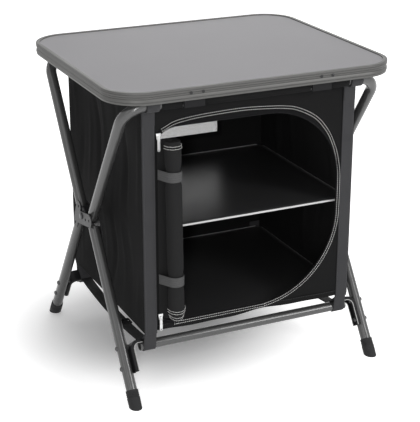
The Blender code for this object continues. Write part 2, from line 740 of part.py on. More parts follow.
def holed_wall(name, end, hole, slot, rays, rings):
    """A wall of cloth with an opening: rings of points from the opening's edge to the wall's edge."""
    middle = (sum(p[0] for p in hole) / len(hole), sum(p[1] for p in hole) / len(hole))
    edge = wall_outline()
    angles = [2 * math.pi * i / rays for i in range(rays)]
    for x in (CABINET_HALF_WIDTH, -CABINET_HALF_WIDTH):
        for z in (CABINET_TOP, HEM_HEIGHT):
            angles.append(math.atan2(z - middle[1], x - middle[0]) % (2 * math.pi))
    for x, z in hole if len(hole) <= 8 else ():
        angles.append(math.atan2(z - middle[1], x - middle[0]) % (2 * math.pi))
    angles.sort()
    shape = bmesh.new()
    layers = []
    for face in (-CLOTH / 2, CLOTH / 2):
        layer = []
        for ring in range(rings + 1):
            share = ring / rings
            row = []
            for angle in angles:
                near = reach_outline(hole, middle, angle)
                far = reach_outline(edge, middle, angle)
                x = near[0] + (far[0] - near[0]) * share
                z = near[1] + (far[1] - near[1]) * share
                sway = end * wall_folds(x, z) * math.sin(math.pi * share)
                row.append(shape.verts.new((x, end * (CABINET_HALF_DEPTH + sway + face), z)))
            layer.append(row)
        for first, second in zip(layer, layer[1:]):
            bridge(shape, first, second)
        layers.append(layer)
    bridge(shape, layers[0][0], layers[1][0])
    bridge(shape, layers[0][-1], layers[1][-1])
    return finish_object(name, shape, slot, crossbar_centre(end))


def vent_outline():
    return [(VENT_HALF_WIDTH, VENT_TOP), (-VENT_HALF_WIDTH, VENT_TOP), (-VENT_HALF_WIDTH, VENT_BOTTOM),
            (VENT_HALF_WIDTH, VENT_BOTTOM)]


def vent_net():
    """Mesh window sewn behind the opening of the rear wall: a border with a net of square gaps."""
    half = VENT_HALF_WIDTH - VENT_STRAND
    low, high = VENT_BOTTOM + VENT_STRAND, VENT_TOP - VENT_STRAND
    side = VENT_HALF_WIDTH + VENT_BORDER
    xs = net_lines(-half, half, VENT_COLUMNS, -side, side)
    zs = net_lines(low, high, VENT_ROWS, VENT_BOTTOM - VENT_BORDER, VENT_TOP + VENT_BORDER)
    face = CABINET_HALF_DEPTH - CLOTH / 2 - CLEARANCE
    shape = bmesh.new()
    layers = [[[shape.verts.new((x, y, z)) for z in zs] for x in xs] for y in (face, face - CLOTH)]
    for layer in layers:
        for i in range(len(xs) - 1):
            for j in range(len(zs) - 1):
                if i % 2 == 0 or j % 2 == 0:
                    corners = (layer[i][j], layer[i + 1][j], layer[i + 1][j + 1], layer[i][j + 1])
                    shape.faces.new(corners)
    front, back = layers
    for i in range(len(xs) - 1):
        for j in range(len(zs) - 1):
            if i % 2 and j % 2:
                corners = ((i, j), (i + 1, j), (i + 1, j + 1), (i, j + 1))
                bridge(shape, [front[a][b] for a, b in corners], [back[a][b] for a, b in corners])
    outer = [(i, 0) for i in range(len(xs))] + [(len(xs) - 1, j) for j in range(1, len(zs))]
    outer += [(i, len(zs) - 1) for i in reversed(range(len(xs) - 1))]
    outer += [(0, j) for j in reversed(range(1, len(zs) - 1))]
    bridge(shape, [front[a][b] for a, b in outer], [back[a][b] for a, b in outer])
    return finish_object("vent_net", shape, "lining", crossbar_centre(BACK))


def net_lines(start, stop, gaps, first, last):
    """Edges of the strands along one side of the net: strand, gap, strand and so on."""
    pitch = (stop - start + VENT_STRAND) / gaps
    lines = [first]
    for index in range(gaps):
        lines += [start + pitch * index, start + pitch * (index + 1) - VENT_STRAND]
    return lines + [last]


def side_wall(side, side_word):
    """Side of the cabinet, drawn in between the boards that hold it out."""
    columns, rows = 8, 14
    reach = CABINET_HALF_DEPTH - CLOTH / 2 - CLEARANCE
    shape = bmesh.new()
    layers = []
    for face in (0, CLOTH):
        layer = []
        for row in range(rows + 1):
            z = HEM_HEIGHT + (CABINET_TOP - HEM_HEIGHT) * row / rows
            line = []
            for column in range(columns + 1):
                y = reach * (2 * column / columns - 1)
                inward = SIDE_PINCH * pinch_share(z) * (1 - (y / reach) ** 2) + face
                line.append(shape.verts.new((side * (CABINET_HALF_WIDTH - inward), y, z)))
            layer.append(line)
        for first, second in zip(layer, layer[1:]):
            for a in range(columns):
                shape.faces.new((first[a], first[a + 1], second[a + 1], second[a]))
        layers.append(layer)
    front, back = layers
    outer = [(0, c) for c in range(columns + 1)] + [(r, columns) for r in range(1, rows + 1)]
    outer += [(rows, c) for c in reversed(range(columns))] + [(r, 0) for r in reversed(range(1, rows))]
    bridge(shape, [front[a][b] for a, b in outer], [back[a][b] for a, b in outer])
    return finish_object(f"side_wall_{side_word}", shape, "cloth", crossbar_centre(BACK))


def pinch_share(z):
    """How far the side is drawn in: most midway in each bay, nothing at the boards and the top."""
    shelf_low = SHELF_HEIGHT - BOARD_THICKNESS
    if z > SHELF_HEIGHT:
        return math.sin(math.pi * (z - SHELF_HEIGHT) / (CABINET_TOP - SHELF_HEIGHT)) ** 2
    if BASE_HEIGHT < z < shelf_low:
        return math.sin(math.pi * (z - BASE_HEIGHT) / (shelf_low - BASE_HEIGHT)) ** 2
    return 0.0


# Boards

def board(name, top, front_gap, slot):
    """Stiff board that rests between the walls; it folds up about a line near its front edge."""
    half = CABINET_HALF_WIDTH - CLOTH - CLEARANCE
    back = board_back()
    front = -back + front_gap
    depth = (back - front) / 2
    outline = rounded_rectangle(half, depth, BOARD_CORNER, 3)
    inner = rounded_rectangle(half - BOARD_EDGE, depth - BOARD_EDGE, BOARD_CORNER - BOARD_EDGE, 3)
    middle = (back + front) / 2
    low = top - BOARD_THICKNESS
    shape = bmesh.new()
    rings = []
    for points, z in ((inner, low), (outline, low + BOARD_EDGE), (outline, top - BOARD_EDGE), (inner, top)):
        rings.append([shape.verts.new((x, y + middle, z)) for x, y in points])
    for first, second in zip(rings, rings[1:]):
        bridge(shape, first, second)
    shape.faces.new(rings[0])
    shape.faces.new(rings[-1])
    return finish_object(name, shape, slot, board_hinge(top, front_gap))


def board_back():
    """Depth of the boards' rear edge: clear of the webbing's tails inside the wall."""
    return CABINET_HALF_DEPTH - CLOTH / 2 - WEB_THICKNESS - 2 * CLEARANCE


def board_hinge(top, front_gap):
    """Line near a board's front edge about which its rear edge swings up."""
    return Vector((0, -board_back() + front_gap + BOARD_HINGE_INSET, top))


def shelf_trim():
    """White edging clipped over the shelf's front edge."""
    front = -board_back() + SHELF_FRONT_GAP
    inner = CLEARANCE
    outer = inner + TRIM_WALL
    top, low = SHELF_HEIGHT, SHELF_HEIGHT - BOARD_THICKNESS
    back = front + TRIM_DEPTH
    outline = [(front - outer, low - outer), (back, low - outer), (back, low - inner),
               (front - inner, low - inner), (front - inner, top + inner), (back, top + inner),
               (back, top + outer), (front - outer, top + outer)]
    half = CABINET_HALF_WIDTH - CLOTH - CLEARANCE - BOARD_CORNER
    hinge = board_hinge(SHELF_HEIGHT, SHELF_FRONT_GAP)
    base, width = X_AXIS * -half, X_AXIS * (2 * half)
    return prism("shelf_trim", outline, base, Y_AXIS, Z_AXIS, width, "white_trim", hinge)


# Webbing and straps

def tangent_angle(centre, radius, point, hand):
    """Angle on a circle at which a line from an outside point touches it."""
    offset = (point[0] - centre[0], point[1] - centre[1])
    return math.atan2(offset[1], offset[0]) + hand * math.acos(radius / math.hypot(*offset))


def looped_path(end, x, centre, radius, outer_points, inner_points, over):
    """Ribbon path in (depth, height): down one side of a bar, round it and up the other side."""
    start = tangent_angle(centre, radius, outer_points[-1], -1 if over else 1)
    stop = tangent_angle(centre, radius, inner_points[0], 1 if over else -1)
    turn = (start - stop) % (2 * math.pi) if over else -((stop - start) % (2 * math.pi))
    round_bar = arc(centre, (radius, radius), start, start - turn, LOOP_STEPS)
    return [Vector((x, end * y, z)) for y, z in outer_points + round_bar + inner_points]


def corner_webbing(end, word, side, side_word):
    """Webbing sewn down the cabinet's corner, looped under the crossbar and sewn inside the hem."""
    centre = crossbar_centre(end)
    radius = CROSSBAR_RADIUS + CLEARANCE + WEB_THICKNESS / 2
    outside = CABINET_HALF_DEPTH + CLOTH / 2 + CLEARANCE + WEB_THICKNESS / 2
    inside = CABINET_HALF_DEPTH - CLOTH / 2 - CLEARANCE - WEB_THICKNESS / 2
    hem = HEM_HEIGHT - HEM_WAVE
    path = looped_path(end, side * WEB_CENTRE, (abs(centre.y), centre.z), radius,
                       [(outside, WEB_TOP), (outside, hem)], [(inside, hem), (inside, hem + LOOP_TAIL)],
                       over=False)
    section = rectangle(WEB_WIDTH, WEB_THICKNESS)
    return swept(f"webbing_{word}_{side_word}", path, X_AXIS, section, "webbing", centre)


def top_loop(end, word, side, side_word):
    """Sleeve of webbing that holds the cabinet's corner on the top bar."""
    centre = top_bar_centre(end)
    radius = TUBE_RADIUS + TOP_LOOP_EASE + WEB_THICKNESS / 2
    outside = CABINET_HALF_DEPTH + CLOTH / 2 + 2 * CLEARANCE + WEB_THICKNESS * 3 / 2
    inside = CABINET_HALF_DEPTH - CLOTH / 2 - CLEARANCE - WEB_THICKNESS / 2
    over = CABINET_TOP + 4 * WEB_THICKNESS
    path = looped_path(end, side * WEB_CENTRE, (abs(centre.y), centre.z), radius,
                       [(outside, TOP_LOOP_LOW), (outside, TOP_LOOP_LOW + LOOP_TAIL)],
                       [(inside, over), (inside, over - LOOP_TAIL)], over=True)
    section = rectangle(TOP_LOOP_WIDTH, WEB_THICKNESS)
    return swept(f"top_loop_{word}_{side_word}", path, X_AXIS, section, "strap", PIVOT)


def bottom_strap(side, side_word):
    """Strap between the two crossbars under one side, with the buckle that sets its length."""
    centre = crossbar_centre(BACK)
    loop = CROSSBAR_RADIUS + CLEARANCE + WEB_THICKNESS
    half = centre.y - loop - CLEARANCE
    path = []
    for index in range(STRAP_STEPS + 1):
        share = 2 * index / STRAP_STEPS - 1
        height = centre.z - STRAP_SAG * (1 - share * share)
        path.append(Vector((side * WEB_CENTRE, half * share, height)))
    section = rectangle(STRAP_WIDTH, STRAP_THICKNESS)
    strap = swept(f"bottom_strap_{side_word}", path, X_AXIS, section, "strap", centre)
    place = BUCKLE_PLACE / half
    height = centre.z - STRAP_SAG * (1 - place * place)
    spot = Vector((side * WEB_CENTRE, BUCKLE_PLACE - BUCKLE_LENGTH / 2, height))
    frame = rounded_rectangle(BUCKLE_WIDTH / 2, BUCKLE_THICKNESS / 2, BUCKLE_THICKNESS / 3, 2)
    buckle = prism(f"buckle_{side_word}", frame, spot, X_AXIS, Z_AXIS, Y_AXIS * BUCKLE_LENGTH, "strap")
    boolean(strap, buckle, "UNION")
    return strap


# Door and zip

def front_face():
    """Depth of the front wall's outer face."""
    return -(CABINET_HALF_DEPTH + CLOTH / 2)


def zip_band():
    """Zip tape round the opening, from the upper left corner over the right side to the lower left."""
    grow = ZIP_BAND / 2
    centre_y = front_face() - CLEARANCE - ZIP_THICKNESS / 2
    corners = opening_corners(grow)
    outline = []
    for index in (1, 0, 3, 2):
        centre, radii, start = corners[index]
        steps = BEND_STEPS - 2 if index in (1, 2) else BEND_STEPS * 3 // 2
        outline += arc(centre, radii, start + math.pi / 2, start, steps)
    path = [Vector((x, centre_y, z)) for x, z in outline]
    section = rectangle(ZIP_THICKNESS, ZIP_BAND)
    return swept("door_zip", path, Y_AXIS, section, "lining", crossbar_centre(FRONT))


def roll_axis(z):
    """The roll leans a little to the right toward its lower end."""
    share = (ROLL_TOP - z) / (ROLL_TOP - ROLL_BOTTOM)
    return ROLL_CENTRE + ROLL_LOW_SHIFT * share, front_face() - CLEARANCE - ROLL_RADIUS


def roll_stations():
    """Heights of the roll's rings with their girth shares: drawn in under the elastic bands."""
    tight = 1 - ROLL_PINCH / ROLL_RADIUS
    edge = BAND_HEIGHT / 2
    stations = [(ROLL_BOTTOM, tight), (ROLL_BOTTOM + BAND_HEIGHT, 1.0)]
    for centre in sorted(BAND_CENTRES):
        stations += [(centre - 2 * edge, 1.0), (centre - edge, tight), (centre + edge, tight),
                     (centre + 2 * edge, 1.0)]
    return stations + [(ROLL_TOP, (1 + tight) / 2)]


def spiral_strip(scale, axis_x):
    """Outer and inner points of the rolled cloth's section, ending in the flap sewn on the wall."""
    count = int(ROLL_TURNS * POINTS_PER_TURN)
    outside = ROLL_RADIUS - ROLL_CLOTH / 2
    outer, inner = [], []
    for index in range(count + 1):
        share = index / count
        radius = (ROLL_CORE + (outside - ROLL_CORE) * share) * scale
        angle = math.pi / 2 - 2 * math.pi * ROLL_TURNS * (1 - share)
        heading = (math.cos(angle), math.sin(angle))
        outer.append(tuple((radius + ROLL_CLOTH / 2) * part for part in heading))
        inner.append(tuple((radius - ROLL_CLOTH / 2) * part for part in heading))
    flap_end = OPENING_LEFT - ROLL_FLAP - axis_x
    for x in (-ROLL_FLAP_START, flap_end):
        outer.append((x, ROLL_RADIUS))
        inner.append((x, ROLL_RADIUS - ROLL_CLOTH))
    return outer, inner


def rolled_door():
    """The unzipped door, rolled up against the opening's left side."""
    shape = bmesh.new()
    rings = []
    for z, scale in roll_stations():
        x, y = roll_axis(z)
        outer, inner = spiral_strip(scale, x)
        rings.append(([shape.verts.new((x + a, y + b, z)) for a, b in outer],
                      [shape.verts.new((x + a, y + b, z)) for a, b in inner]))
    for first, second in zip(rings, rings[1:]):
        bridge(shape, first[0] + first[1][::-1], second[0] + second[1][::-1])
    for outer, inner in (rings[0], rings[-1]):
        for i in range(len(outer) - 1):
            shape.faces.new((outer[i], outer[i + 1], inner[i + 1], inner[i]))
    print(f"least gap between the door's turns: {least_turn_gap() * 1000:.2f} mm")
    return finish_object("rolled_door", shape, "cloth", crossbar_centre(FRONT))


def least_turn_gap():
    """Smallest distance from a turn's outer face to the next turn's inner face, over all rings."""
    least = ROLL_RADIUS
    apart = POINTS_PER_TURN * 2 // 3 + 1
    for z, scale in roll_stations():
        outer, inner = spiral_strip(scale, roll_axis(z)[0])
        for index, point in enumerate(outer):
            for other in inner[index + apart:]:
                least = min(least, math.dist(point, other))
    return least


def elastic_band(height, word):
    """Elastic sewn in front of the flap, round the roll and back to the wall's inner face."""
    x, y = roll_axis(height)
    radius = ROLL_RADIUS - ROLL_PINCH + CLEARANCE + BAND_THICKNESS / 2
    sewn = OPENING_LEFT - ROLL_FLAP
    before = (sewn, front_face() - 2 * CLEARANCE - ROLL_CLOTH - BAND_THICKNESS / 2)
    behind = -(CABINET_HALF_DEPTH - CLOTH / 2) + CLEARANCE + BAND_THICKNESS / 2
    start = tangent_angle((x, y), radius, before, 1)
    stop = 2 * math.pi + math.pi / 3
    outline = [before] + arc((x, y), (radius, radius), start % (2 * math.pi), stop, LOOP_STEPS)
    outline += [(x - ROLL_RADIUS / 3, behind), (sewn, behind)]
    path = [Vector((a, b, height)) for a, b in outline]
    section = rectangle(BAND_HEIGHT, BAND_THICKNESS)
    return swept(f"elastic_band_{word}", path, Z_AXIS, section, "elastic", crossbar_centre(FRONT))


def zip_slider(word, height):
    """Slider body with the arched bridge that carries its pull."""
    x = OPENING_LEFT - ZIP_BAND / 2
    back = front_face() - CLEARANCE - ZIP_THICKNESS - CLEARANCE
    depth = SLIDER_THICKNESS / 2
    wide, narrow, high = SLIDER_WIDTH / 2, SLIDER_WIDTH / 3, SLIDER_HEIGHT / 2
    outline = [(-wide, high), (-narrow, -high), (narrow, -high), (wide, high)]
    middle = Vector((x, back, height))
    name = f"zip_slider_{word}"
    body = prism(name, outline, middle, X_AXIS, Z_AXIS, Y_AXIS * -depth, "steel", crossbar_centre(FRONT))
    rise = depth + PULL_THICKNESS + 2 * PULL_EASE
    edge = depth * (1 - OVERLAP_SHARE)
    slot, foot_end = BRIDGE_SLOT / 2, BRIDGE_SLOT / 2 + BRIDGE_WALL
    crown = -rise - BRIDGE_WALL
    arch = [(-edge, -foot_end), (-rise, -foot_end), (crown, -slot), (crown, slot), (-rise, foot_end),
            (-edge, foot_end), (-edge, slot), (-rise, slot), (-rise, -slot), (-edge, -slot)]
    bridge_piece = prism(f"bridge_{word}", arch, middle - X_AXIS * (BRIDGE_WIDTH / 2), Y_AXIS, Z_AXIS,
                         X_AXIS * BRIDGE_WIDTH, "steel")
    boolean(body, bridge_piece, "UNION")
    return body


def pull_axis(height):
    """The pull's hinge line inside its slider's bridge."""
    back = front_face() - 2 * CLEARANCE - ZIP_THICKNESS
    depth = back - SLIDER_THICKNESS / 2 - PULL_EASE - PULL_THICKNESS / 2
    return Vector((OPENING_LEFT - ZIP_BAND / 2, depth, height))


def zip_pull(word, height):
    """Flat pull: a window round the bridge at its top and a hole near its lower end."""
    axis = pull_axis(height)
    bar = PULL_THICKNESS / 2
    back = axis + Y_AXIS * (PULL_THICKNESS / 2)
    corner = PULL_WIDTH / 3
    half, low = PULL_WIDTH / 2, -PULL_LENGTH
    outline = [(-half, bar), (-half, low + corner), (-half + corner, low), (half - corner, low),
               (half, low + corner), (half, bar)]
    pull = prism(f"zip_pull_{word}", outline, back, X_AXIS, Z_AXIS, Y_AXIS * -PULL_THICKNESS, "steel", axis)
    window = rectangle(BRIDGE_WIDTH + 2 * PULL_EASE, PULL_WINDOW)
    spot = back + Y_AXIS * OVERRUN - Z_AXIS * (bar + PULL_WINDOW / 2)
    boolean(pull, prism(f"window_{word}", window, spot, X_AXIS, Z_AXIS, Y_AXIS * (-2 * OVERRUN), "steel"))
    hole = axis - Z_AXIS * (PULL_LENGTH - PULL_WIDTH / 2)
    through = Y_AXIS * OVERRUN
    boolean(pull, rod(f"pull_hole_{word}", hole - through, hole + through, PULL_HOLE, POCKET_SIDES))
    return pull


def build_cabinet():
    holed_wall("front_wall", FRONT, opening_outline(0, 10), "cloth", 64, 3)
    holed_wall("rear_wall", BACK, vent_outline(), "cloth", 32, 3)
    vent_net()
    for side, side_word in SIDES:
        side_wall(side, side_word)
    board("base_board", BASE_HEIGHT, BASE_FRONT_GAP, "lining")
    board("shelf_board", SHELF_HEIGHT, SHELF_FRONT_GAP, "lining")
    shelf_trim()


def build_webbing():
    for end, word in ENDS:
        for side, side_word in SIDES:
            corner_webbing(end, word, side, side_word)
            top_loop(end, word, side, side_word)
    for side, side_word in SIDES:
        bottom_strap(side, side_word)


def build_door():
    zip_band()
    rolled_door()
    heights = (ROLL_TOP + SLIDER_HEIGHT / 2 + CLEARANCE, ROLL_BOTTOM - SLIDER_HEIGHT)
    for word, height in zip(("upper", "lower"), heights):
        zip_slider(word, height)
        zip_pull(word, height)
    for word, height in zip(("upper", "lower"), BAND_CENTRES):
        elastic_band(height, word)


def main():
    clear_scene()
    build_frame()
    build_tabletop()
    build_cabinet()
    build_webbing()
    build_door()


if __name__ == "__main__":
    main()
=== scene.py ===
"""Folding camp kitchen cupboard: the dressed model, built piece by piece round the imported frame.

Metres, +Z up, the door faces -Y. Each operator makes one piece or one group of like pieces.
"""
import math
from collections import namedtuple

import bmesh
import bpy
from mathutils import Matrix, Vector, noise


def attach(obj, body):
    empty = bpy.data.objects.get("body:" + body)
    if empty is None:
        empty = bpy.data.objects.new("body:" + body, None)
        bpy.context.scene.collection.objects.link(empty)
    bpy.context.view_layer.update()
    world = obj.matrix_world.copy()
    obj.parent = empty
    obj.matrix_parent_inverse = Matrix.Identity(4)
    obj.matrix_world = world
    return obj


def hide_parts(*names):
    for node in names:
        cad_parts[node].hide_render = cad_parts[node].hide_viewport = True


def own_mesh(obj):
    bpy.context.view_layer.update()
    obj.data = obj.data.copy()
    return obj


bl_info = {
    "name": "Folding camp kitchen cupboard",
    "version": (1, 0, 0),
    "blender": (4, 5, 0),
    "location": "3D View > Sidebar > Cupboard",
    "description": "Builds a fabric camping cupboard with its frame, door, webbing and studio",
    "category": "Add Mesh",
}

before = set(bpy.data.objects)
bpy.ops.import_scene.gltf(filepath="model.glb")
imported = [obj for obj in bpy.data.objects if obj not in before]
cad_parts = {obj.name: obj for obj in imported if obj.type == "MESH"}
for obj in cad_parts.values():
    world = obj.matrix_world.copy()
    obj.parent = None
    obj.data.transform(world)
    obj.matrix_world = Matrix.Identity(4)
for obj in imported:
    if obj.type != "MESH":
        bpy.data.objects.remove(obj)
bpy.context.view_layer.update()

X_AXIS, Y_AXIS, Z_AXIS = Vector((1, 0, 0)), Vector((0, 1, 0)), Vector((0, 0, 1))
# The last three of an end name the bodies of its lower legs, its upper frame and its wall.
End = namedtuple("End", "sign word lower upper wall")
Side = namedtuple("Side", "sign word")
FRONT = End(-1, "front", "leg_b", "leg_a", "front_side")
REAR = End(1, "rear", "leg_a", "leg_b", "rear_side")
ENDS = FRONT, REAR
SIDES = Side(-1, "left"), Side(1, "right")

TABLE_WIDTH, TABLE_DEPTH, TABLE_HEIGHT, TABLE_CORNER = 0.600, 0.510, 0.636, 0.074
RIM_HEIGHT, RIM_FLANGE, RIM_WALL, RIM_BULGE, RIM_LIP = 0.024, 0.0143, 0.0020, 0.0012, 0.0070
PANEL_RECESS, PANEL_STEP, PANEL_THICKNESS, PANEL_SOFT = 0.0020, 0.0010, 0.0100, 0.0003
TUBE_RADIUS, TUBE_WALL, BAR_RADIUS = 0.011, 0.0015, 0.010
LEG_PLANE, LEG_OFFSET, PIVOT_HEIGHT = 0.268, 0.021, TABLE_HEIGHT * 0.5016
BAR_DEPTH, BAR_HEIGHT = 0.2191, 0.6019
TOP_REACH = math.sqrt(BAR_DEPTH ** 2 + (BAR_HEIGHT - PIVOT_HEIGHT) ** 2 - LEG_OFFSET ** 2)
TILT = math.atan2(BAR_DEPTH, BAR_HEIGHT - PIVOT_HEIGHT) - math.atan2(LEG_OFFSET, TOP_REACH)
SINE, COSINE = math.sin(TILT), math.cos(TILT)
FOOT_REACH = (PIVOT_HEIGHT + LEG_OFFSET * SINE) / COSINE
TOP_BEND = 0.045
CROSSBAR_FROM_FOOT, CROSSBAR_OUT = 0.116, 0.0065

HALF_WIDTH, HALF_DEPTH, CABINET_TOP, HEM = 0.230, 0.200, 0.600, 0.134
CLOTH, GAP = 0.0012, 0.0003
WALL_OUT, WALL_IN = HALF_DEPTH + CLOTH / 2, HALF_DEPTH - CLOTH / 2
OPEN_LEFT, OPEN_RIGHT, OPEN_LOW, OPEN_TOP = -0.1915, 0.1935, 0.149, 0.549
BIG_ARC, LOW_ARC, SMALL_ARC = (0.15708, 0.150), (0.1771, 0.178), (0.040, 0.018)
VENT_X, VENT_LOW, VENT_TOP = 0.118, 0.389, 0.520
SHELF_TOP, BASE_TOP, BOARD = 0.345, 0.143, 0.006
WEB_X, WEB_WIDTH, WEB_THICK = 0.2155, 0.026, 0.0016
ROLL_X, ROLL_SHIFT, ROLL_RADIUS, ROLL_LOW, ROLL_TOP = -0.174, 0.005, 0.018, 0.176, 0.528
BANDS = (0.4595, 0.2450)
BOARD_BACK = WALL_IN - WEB_THICK - 2 * GAP
THREAD_RISE = 0.0002


def tone_setting(label, note, value):
    return bpy.props.FloatVectorProperty(name=label, description=note, subtype="COLOR", size=3, default=value)


def length_setting(label, note, value):
    return bpy.props.FloatProperty(name=label, description=note, default=value, unit="LENGTH")


class CupboardColours(bpy.types.PropertyGroup):
    """Finishes of the cupboard, linear colours."""

    laminate: tone_setting("Laminate", "Tabletop surface", (0.330, 0.323, 0.337))
    rim: tone_setting("Edging", "Metal edging round the top", (0.128, 0.127, 0.123))
    tube: tone_setting("Tube", "Coated legs and crossbars", (0.080, 0.080, 0.080))
    cloth: tone_setting("Cloth", "Cabinet walls and door", (0.0205, 0.0205, 0.0208))
    webbing: tone_setting("Webbing", "Corner webbing", (0.080, 0.080, 0.084))
    elastic: tone_setting("Elastic", "Bands that hold the rolled door", (0.145, 0.145, 0.146))


class CupboardSizes(bpy.types.PropertyGroup):
    """Sizes that a user would change."""

    stitch_length: length_setting("Stitch", "Length of one stitch", 0.0030)
    stitch_pitch: length_setting("Stitch pitch", "Distance from stitch to stitch", 0.0039)
    thread: length_setting("Thread", "Width of the sewing thread", 0.0009)
    zip_pitch: length_setting("Zip pitch", "Distance between zip teeth", 0.0024)
    net_pitch: length_setting("Net pitch", "Gap of the vent's net", 0.0015)
    ease: length_setting("Folds", "Depth of the cloth's folds", 0.0080)
    screw_radius: length_setting("Screw", "Radius of the screw heads in the edging", 0.0031)


def settings():
    return bpy.context.scene.cupboard_sizes


# Node helpers

def new_tree(name, kind, inputs, outputs):
    """An empty node group from (name, socket kind, default) and (name, socket kind) rows."""
    tree = bpy.data.node_groups.new(name, kind)
    for socket, sort, value in inputs:
        made = tree.interface.new_socket(socket, in_out="INPUT", socket_type="NodeSocket" + sort)
        if value is not None:
            made.default_value = value
    for socket, sort in outputs:
        tree.interface.new_socket(socket, in_out="OUTPUT", socket_type="NodeSocket" + sort)
    return tree, tree.nodes.new("NodeGroupInput").outputs, tree.nodes.new("NodeGroupOutput")


def feed(tree, node, inputs):
    """Sets a node's inputs; each value is a number or colour, a socket, or a node for its first output."""
    for key, value in inputs.items():
        if isinstance(value, bpy.types.Node):
            value = value.outputs[0]
        if isinstance(value, bpy.types.NodeSocket):
            tree.links.new(value, node.inputs[key])
        else:
            node.inputs[key].default_value = value


def add(tree, kind, inputs=(), **values):
    """A new node with its properties and inputs."""
    node = tree.nodes.new(kind)
    for key, value in values.items():
        setattr(node, key, value)
    feed(tree, node, dict(inputs))
    return node


def maths(tree, operation, *values, clamp=False):
    return add(tree, "ShaderNodeMath", enumerate(values), operation=operation, use_clamp=clamp).outputs[0]


def wave(tree, value):
    """Height of a wave that peaks once per unit."""
    return maths(tree, "ABSOLUTE", maths(tree, "SINE", maths(tree, "MULTIPLY", value, math.pi)))


# Shader groups

def shader_group(name, inputs, outputs):
    rows = [("Vector", "Vector", None)] + [(socket, "Float", value) for socket, value in inputs]
    return new_tree(name, "ShaderNodeTree", rows, [(socket, "Float") for socket in outputs])


def weave_group():
    """Plain weave from flat coordinates in metres: raised yarns and a mask of the gaps."""
    group, source, sink = shader_group("Plain weave", [("Yarns per metre", 1200.0)], ("Height", "Gaps"))
    split = add(group, "ShaderNodeSeparateXYZ", {0: source["Vector"]}).outputs
    yarns = [maths(group, "MULTIPLY", split[axis], source["Yarns per metre"]) for axis in (0, 1)]
    waves = [maths(group, "SINE", maths(group, "MULTIPLY", yarn, math.pi)) for yarn in yarns]
    over = maths(group, "MULTIPLY_ADD", maths(group, "MULTIPLY", *waves), 0.5, 0.5)
    body = maths(group, "MULTIPLY", *[maths(group, "ABSOLUTE", part) for part in waves])
    feed(group, sink, {"Height": maths(group, "MULTIPLY", over, body),
                       "Gaps": maths(group, "SUBTRACT", 1.0, body)})
    return group


def rib_group():
    """Ribs that run along a ribbon, crossed by fine slanting picks."""
    slope, pick_share = 0.5, 0.6
    group, source, sink = shader_group(
        "Ribbed band", [("Ribs per metre", 500.0), ("Picks per metre", 900.0)], ("Height",))
    split = add(group, "ShaderNodeSeparateXYZ", {0: source["Vector"]}).outputs
    rib = maths(group, "MULTIPLY", split[0], source["Ribs per metre"])
    pick = maths(group, "MULTIPLY", split[1], source["Picks per metre"])
    slant = maths(group, "ADD", pick, maths(group, "MULTIPLY", rib, slope))
    picks = maths(group, "MULTIPLY_ADD", wave(group, slant), pick_share, 1 - pick_share)
    feed(group, sink, {"Height": maths(group, "MULTIPLY", wave(group, rib), picks)})
    return group


def grain_group():
    """Fine grain and a slow drift of tone, on object coordinates."""
    group, source, sink = shader_group(
        "Grain and drift", [("Grain scale", 900.0), ("Drift scale", 9.0)], ("Grain", "Drift"))
    for scale, detail, output in (("Grain scale", 3.0, "Grain"), ("Drift scale", 5.0, "Drift")):
        field = add(group, "ShaderNodeTexNoise", noise_dimensions="3D",
                    inputs={"Vector": source["Vector"], "Scale": source[scale], "Detail": detail})
        feed(group, sink, {output: field.outputs["Fac"]})
    return group


def dust_group():
    """Light dust that settles unevenly, as a mask."""
    speck_size, bare_share = 0.16, 0.45
    group, source, sink = shader_group("Dust", [("Amount", 0.3)], ("Mask",))
    patch = add(group, "ShaderNodeTexNoise", {"Vector": source["Vector"], "Scale": 14.0, "Detail": 8.0})
    specks = add(group, "ShaderNodeTexVoronoi", {"Vector": source["Vector"], "Scale": 420.0}, feature="F1")
    dots = maths(group, "LESS_THAN", specks.outputs["Distance"], speck_size)
    where = maths(group, "SUBTRACT", patch.outputs["Fac"], bare_share, clamp=True)
    mask = maths(group, "MULTIPLY", maths(group, "MULTIPLY", dots, where), source["Amount"])
    feed(group, sink, {"Mask": mask})
    return group


GROUP_MAKERS = {"Plain weave": weave_group, "Ribbed band": rib_group, "Grain and drift": grain_group,
                "Dust": dust_group}


def place_group(tree, name, vector, inputs):
    group = bpy.data.node_groups.get(name) or GROUP_MAKERS[name]()
    return add(tree, "ShaderNodeGroup", {"Vector": vector, **inputs}, node_tree=group).outputs


def mixed(tree, factor, first, second):
    """A colour mix; each side is a colour or a socket."""
    first, second = ((*side, 1.0) if isinstance(side, tuple) else side for side in (first, second))
    return add(tree, "ShaderNodeMix", {0: factor, 6: first, 7: second}, data_type="RGBA").outputs[2]


def scaled(tone, factor):
    return tuple(min(1.0, part * factor) for part in tone)


# Finishes

def recipe(tone, roughness, **others):
    """A row of the list below: a tone or the name of its colour setting, and what surface() gets."""
    return {"tone": tone, "roughness": roughness, **others}


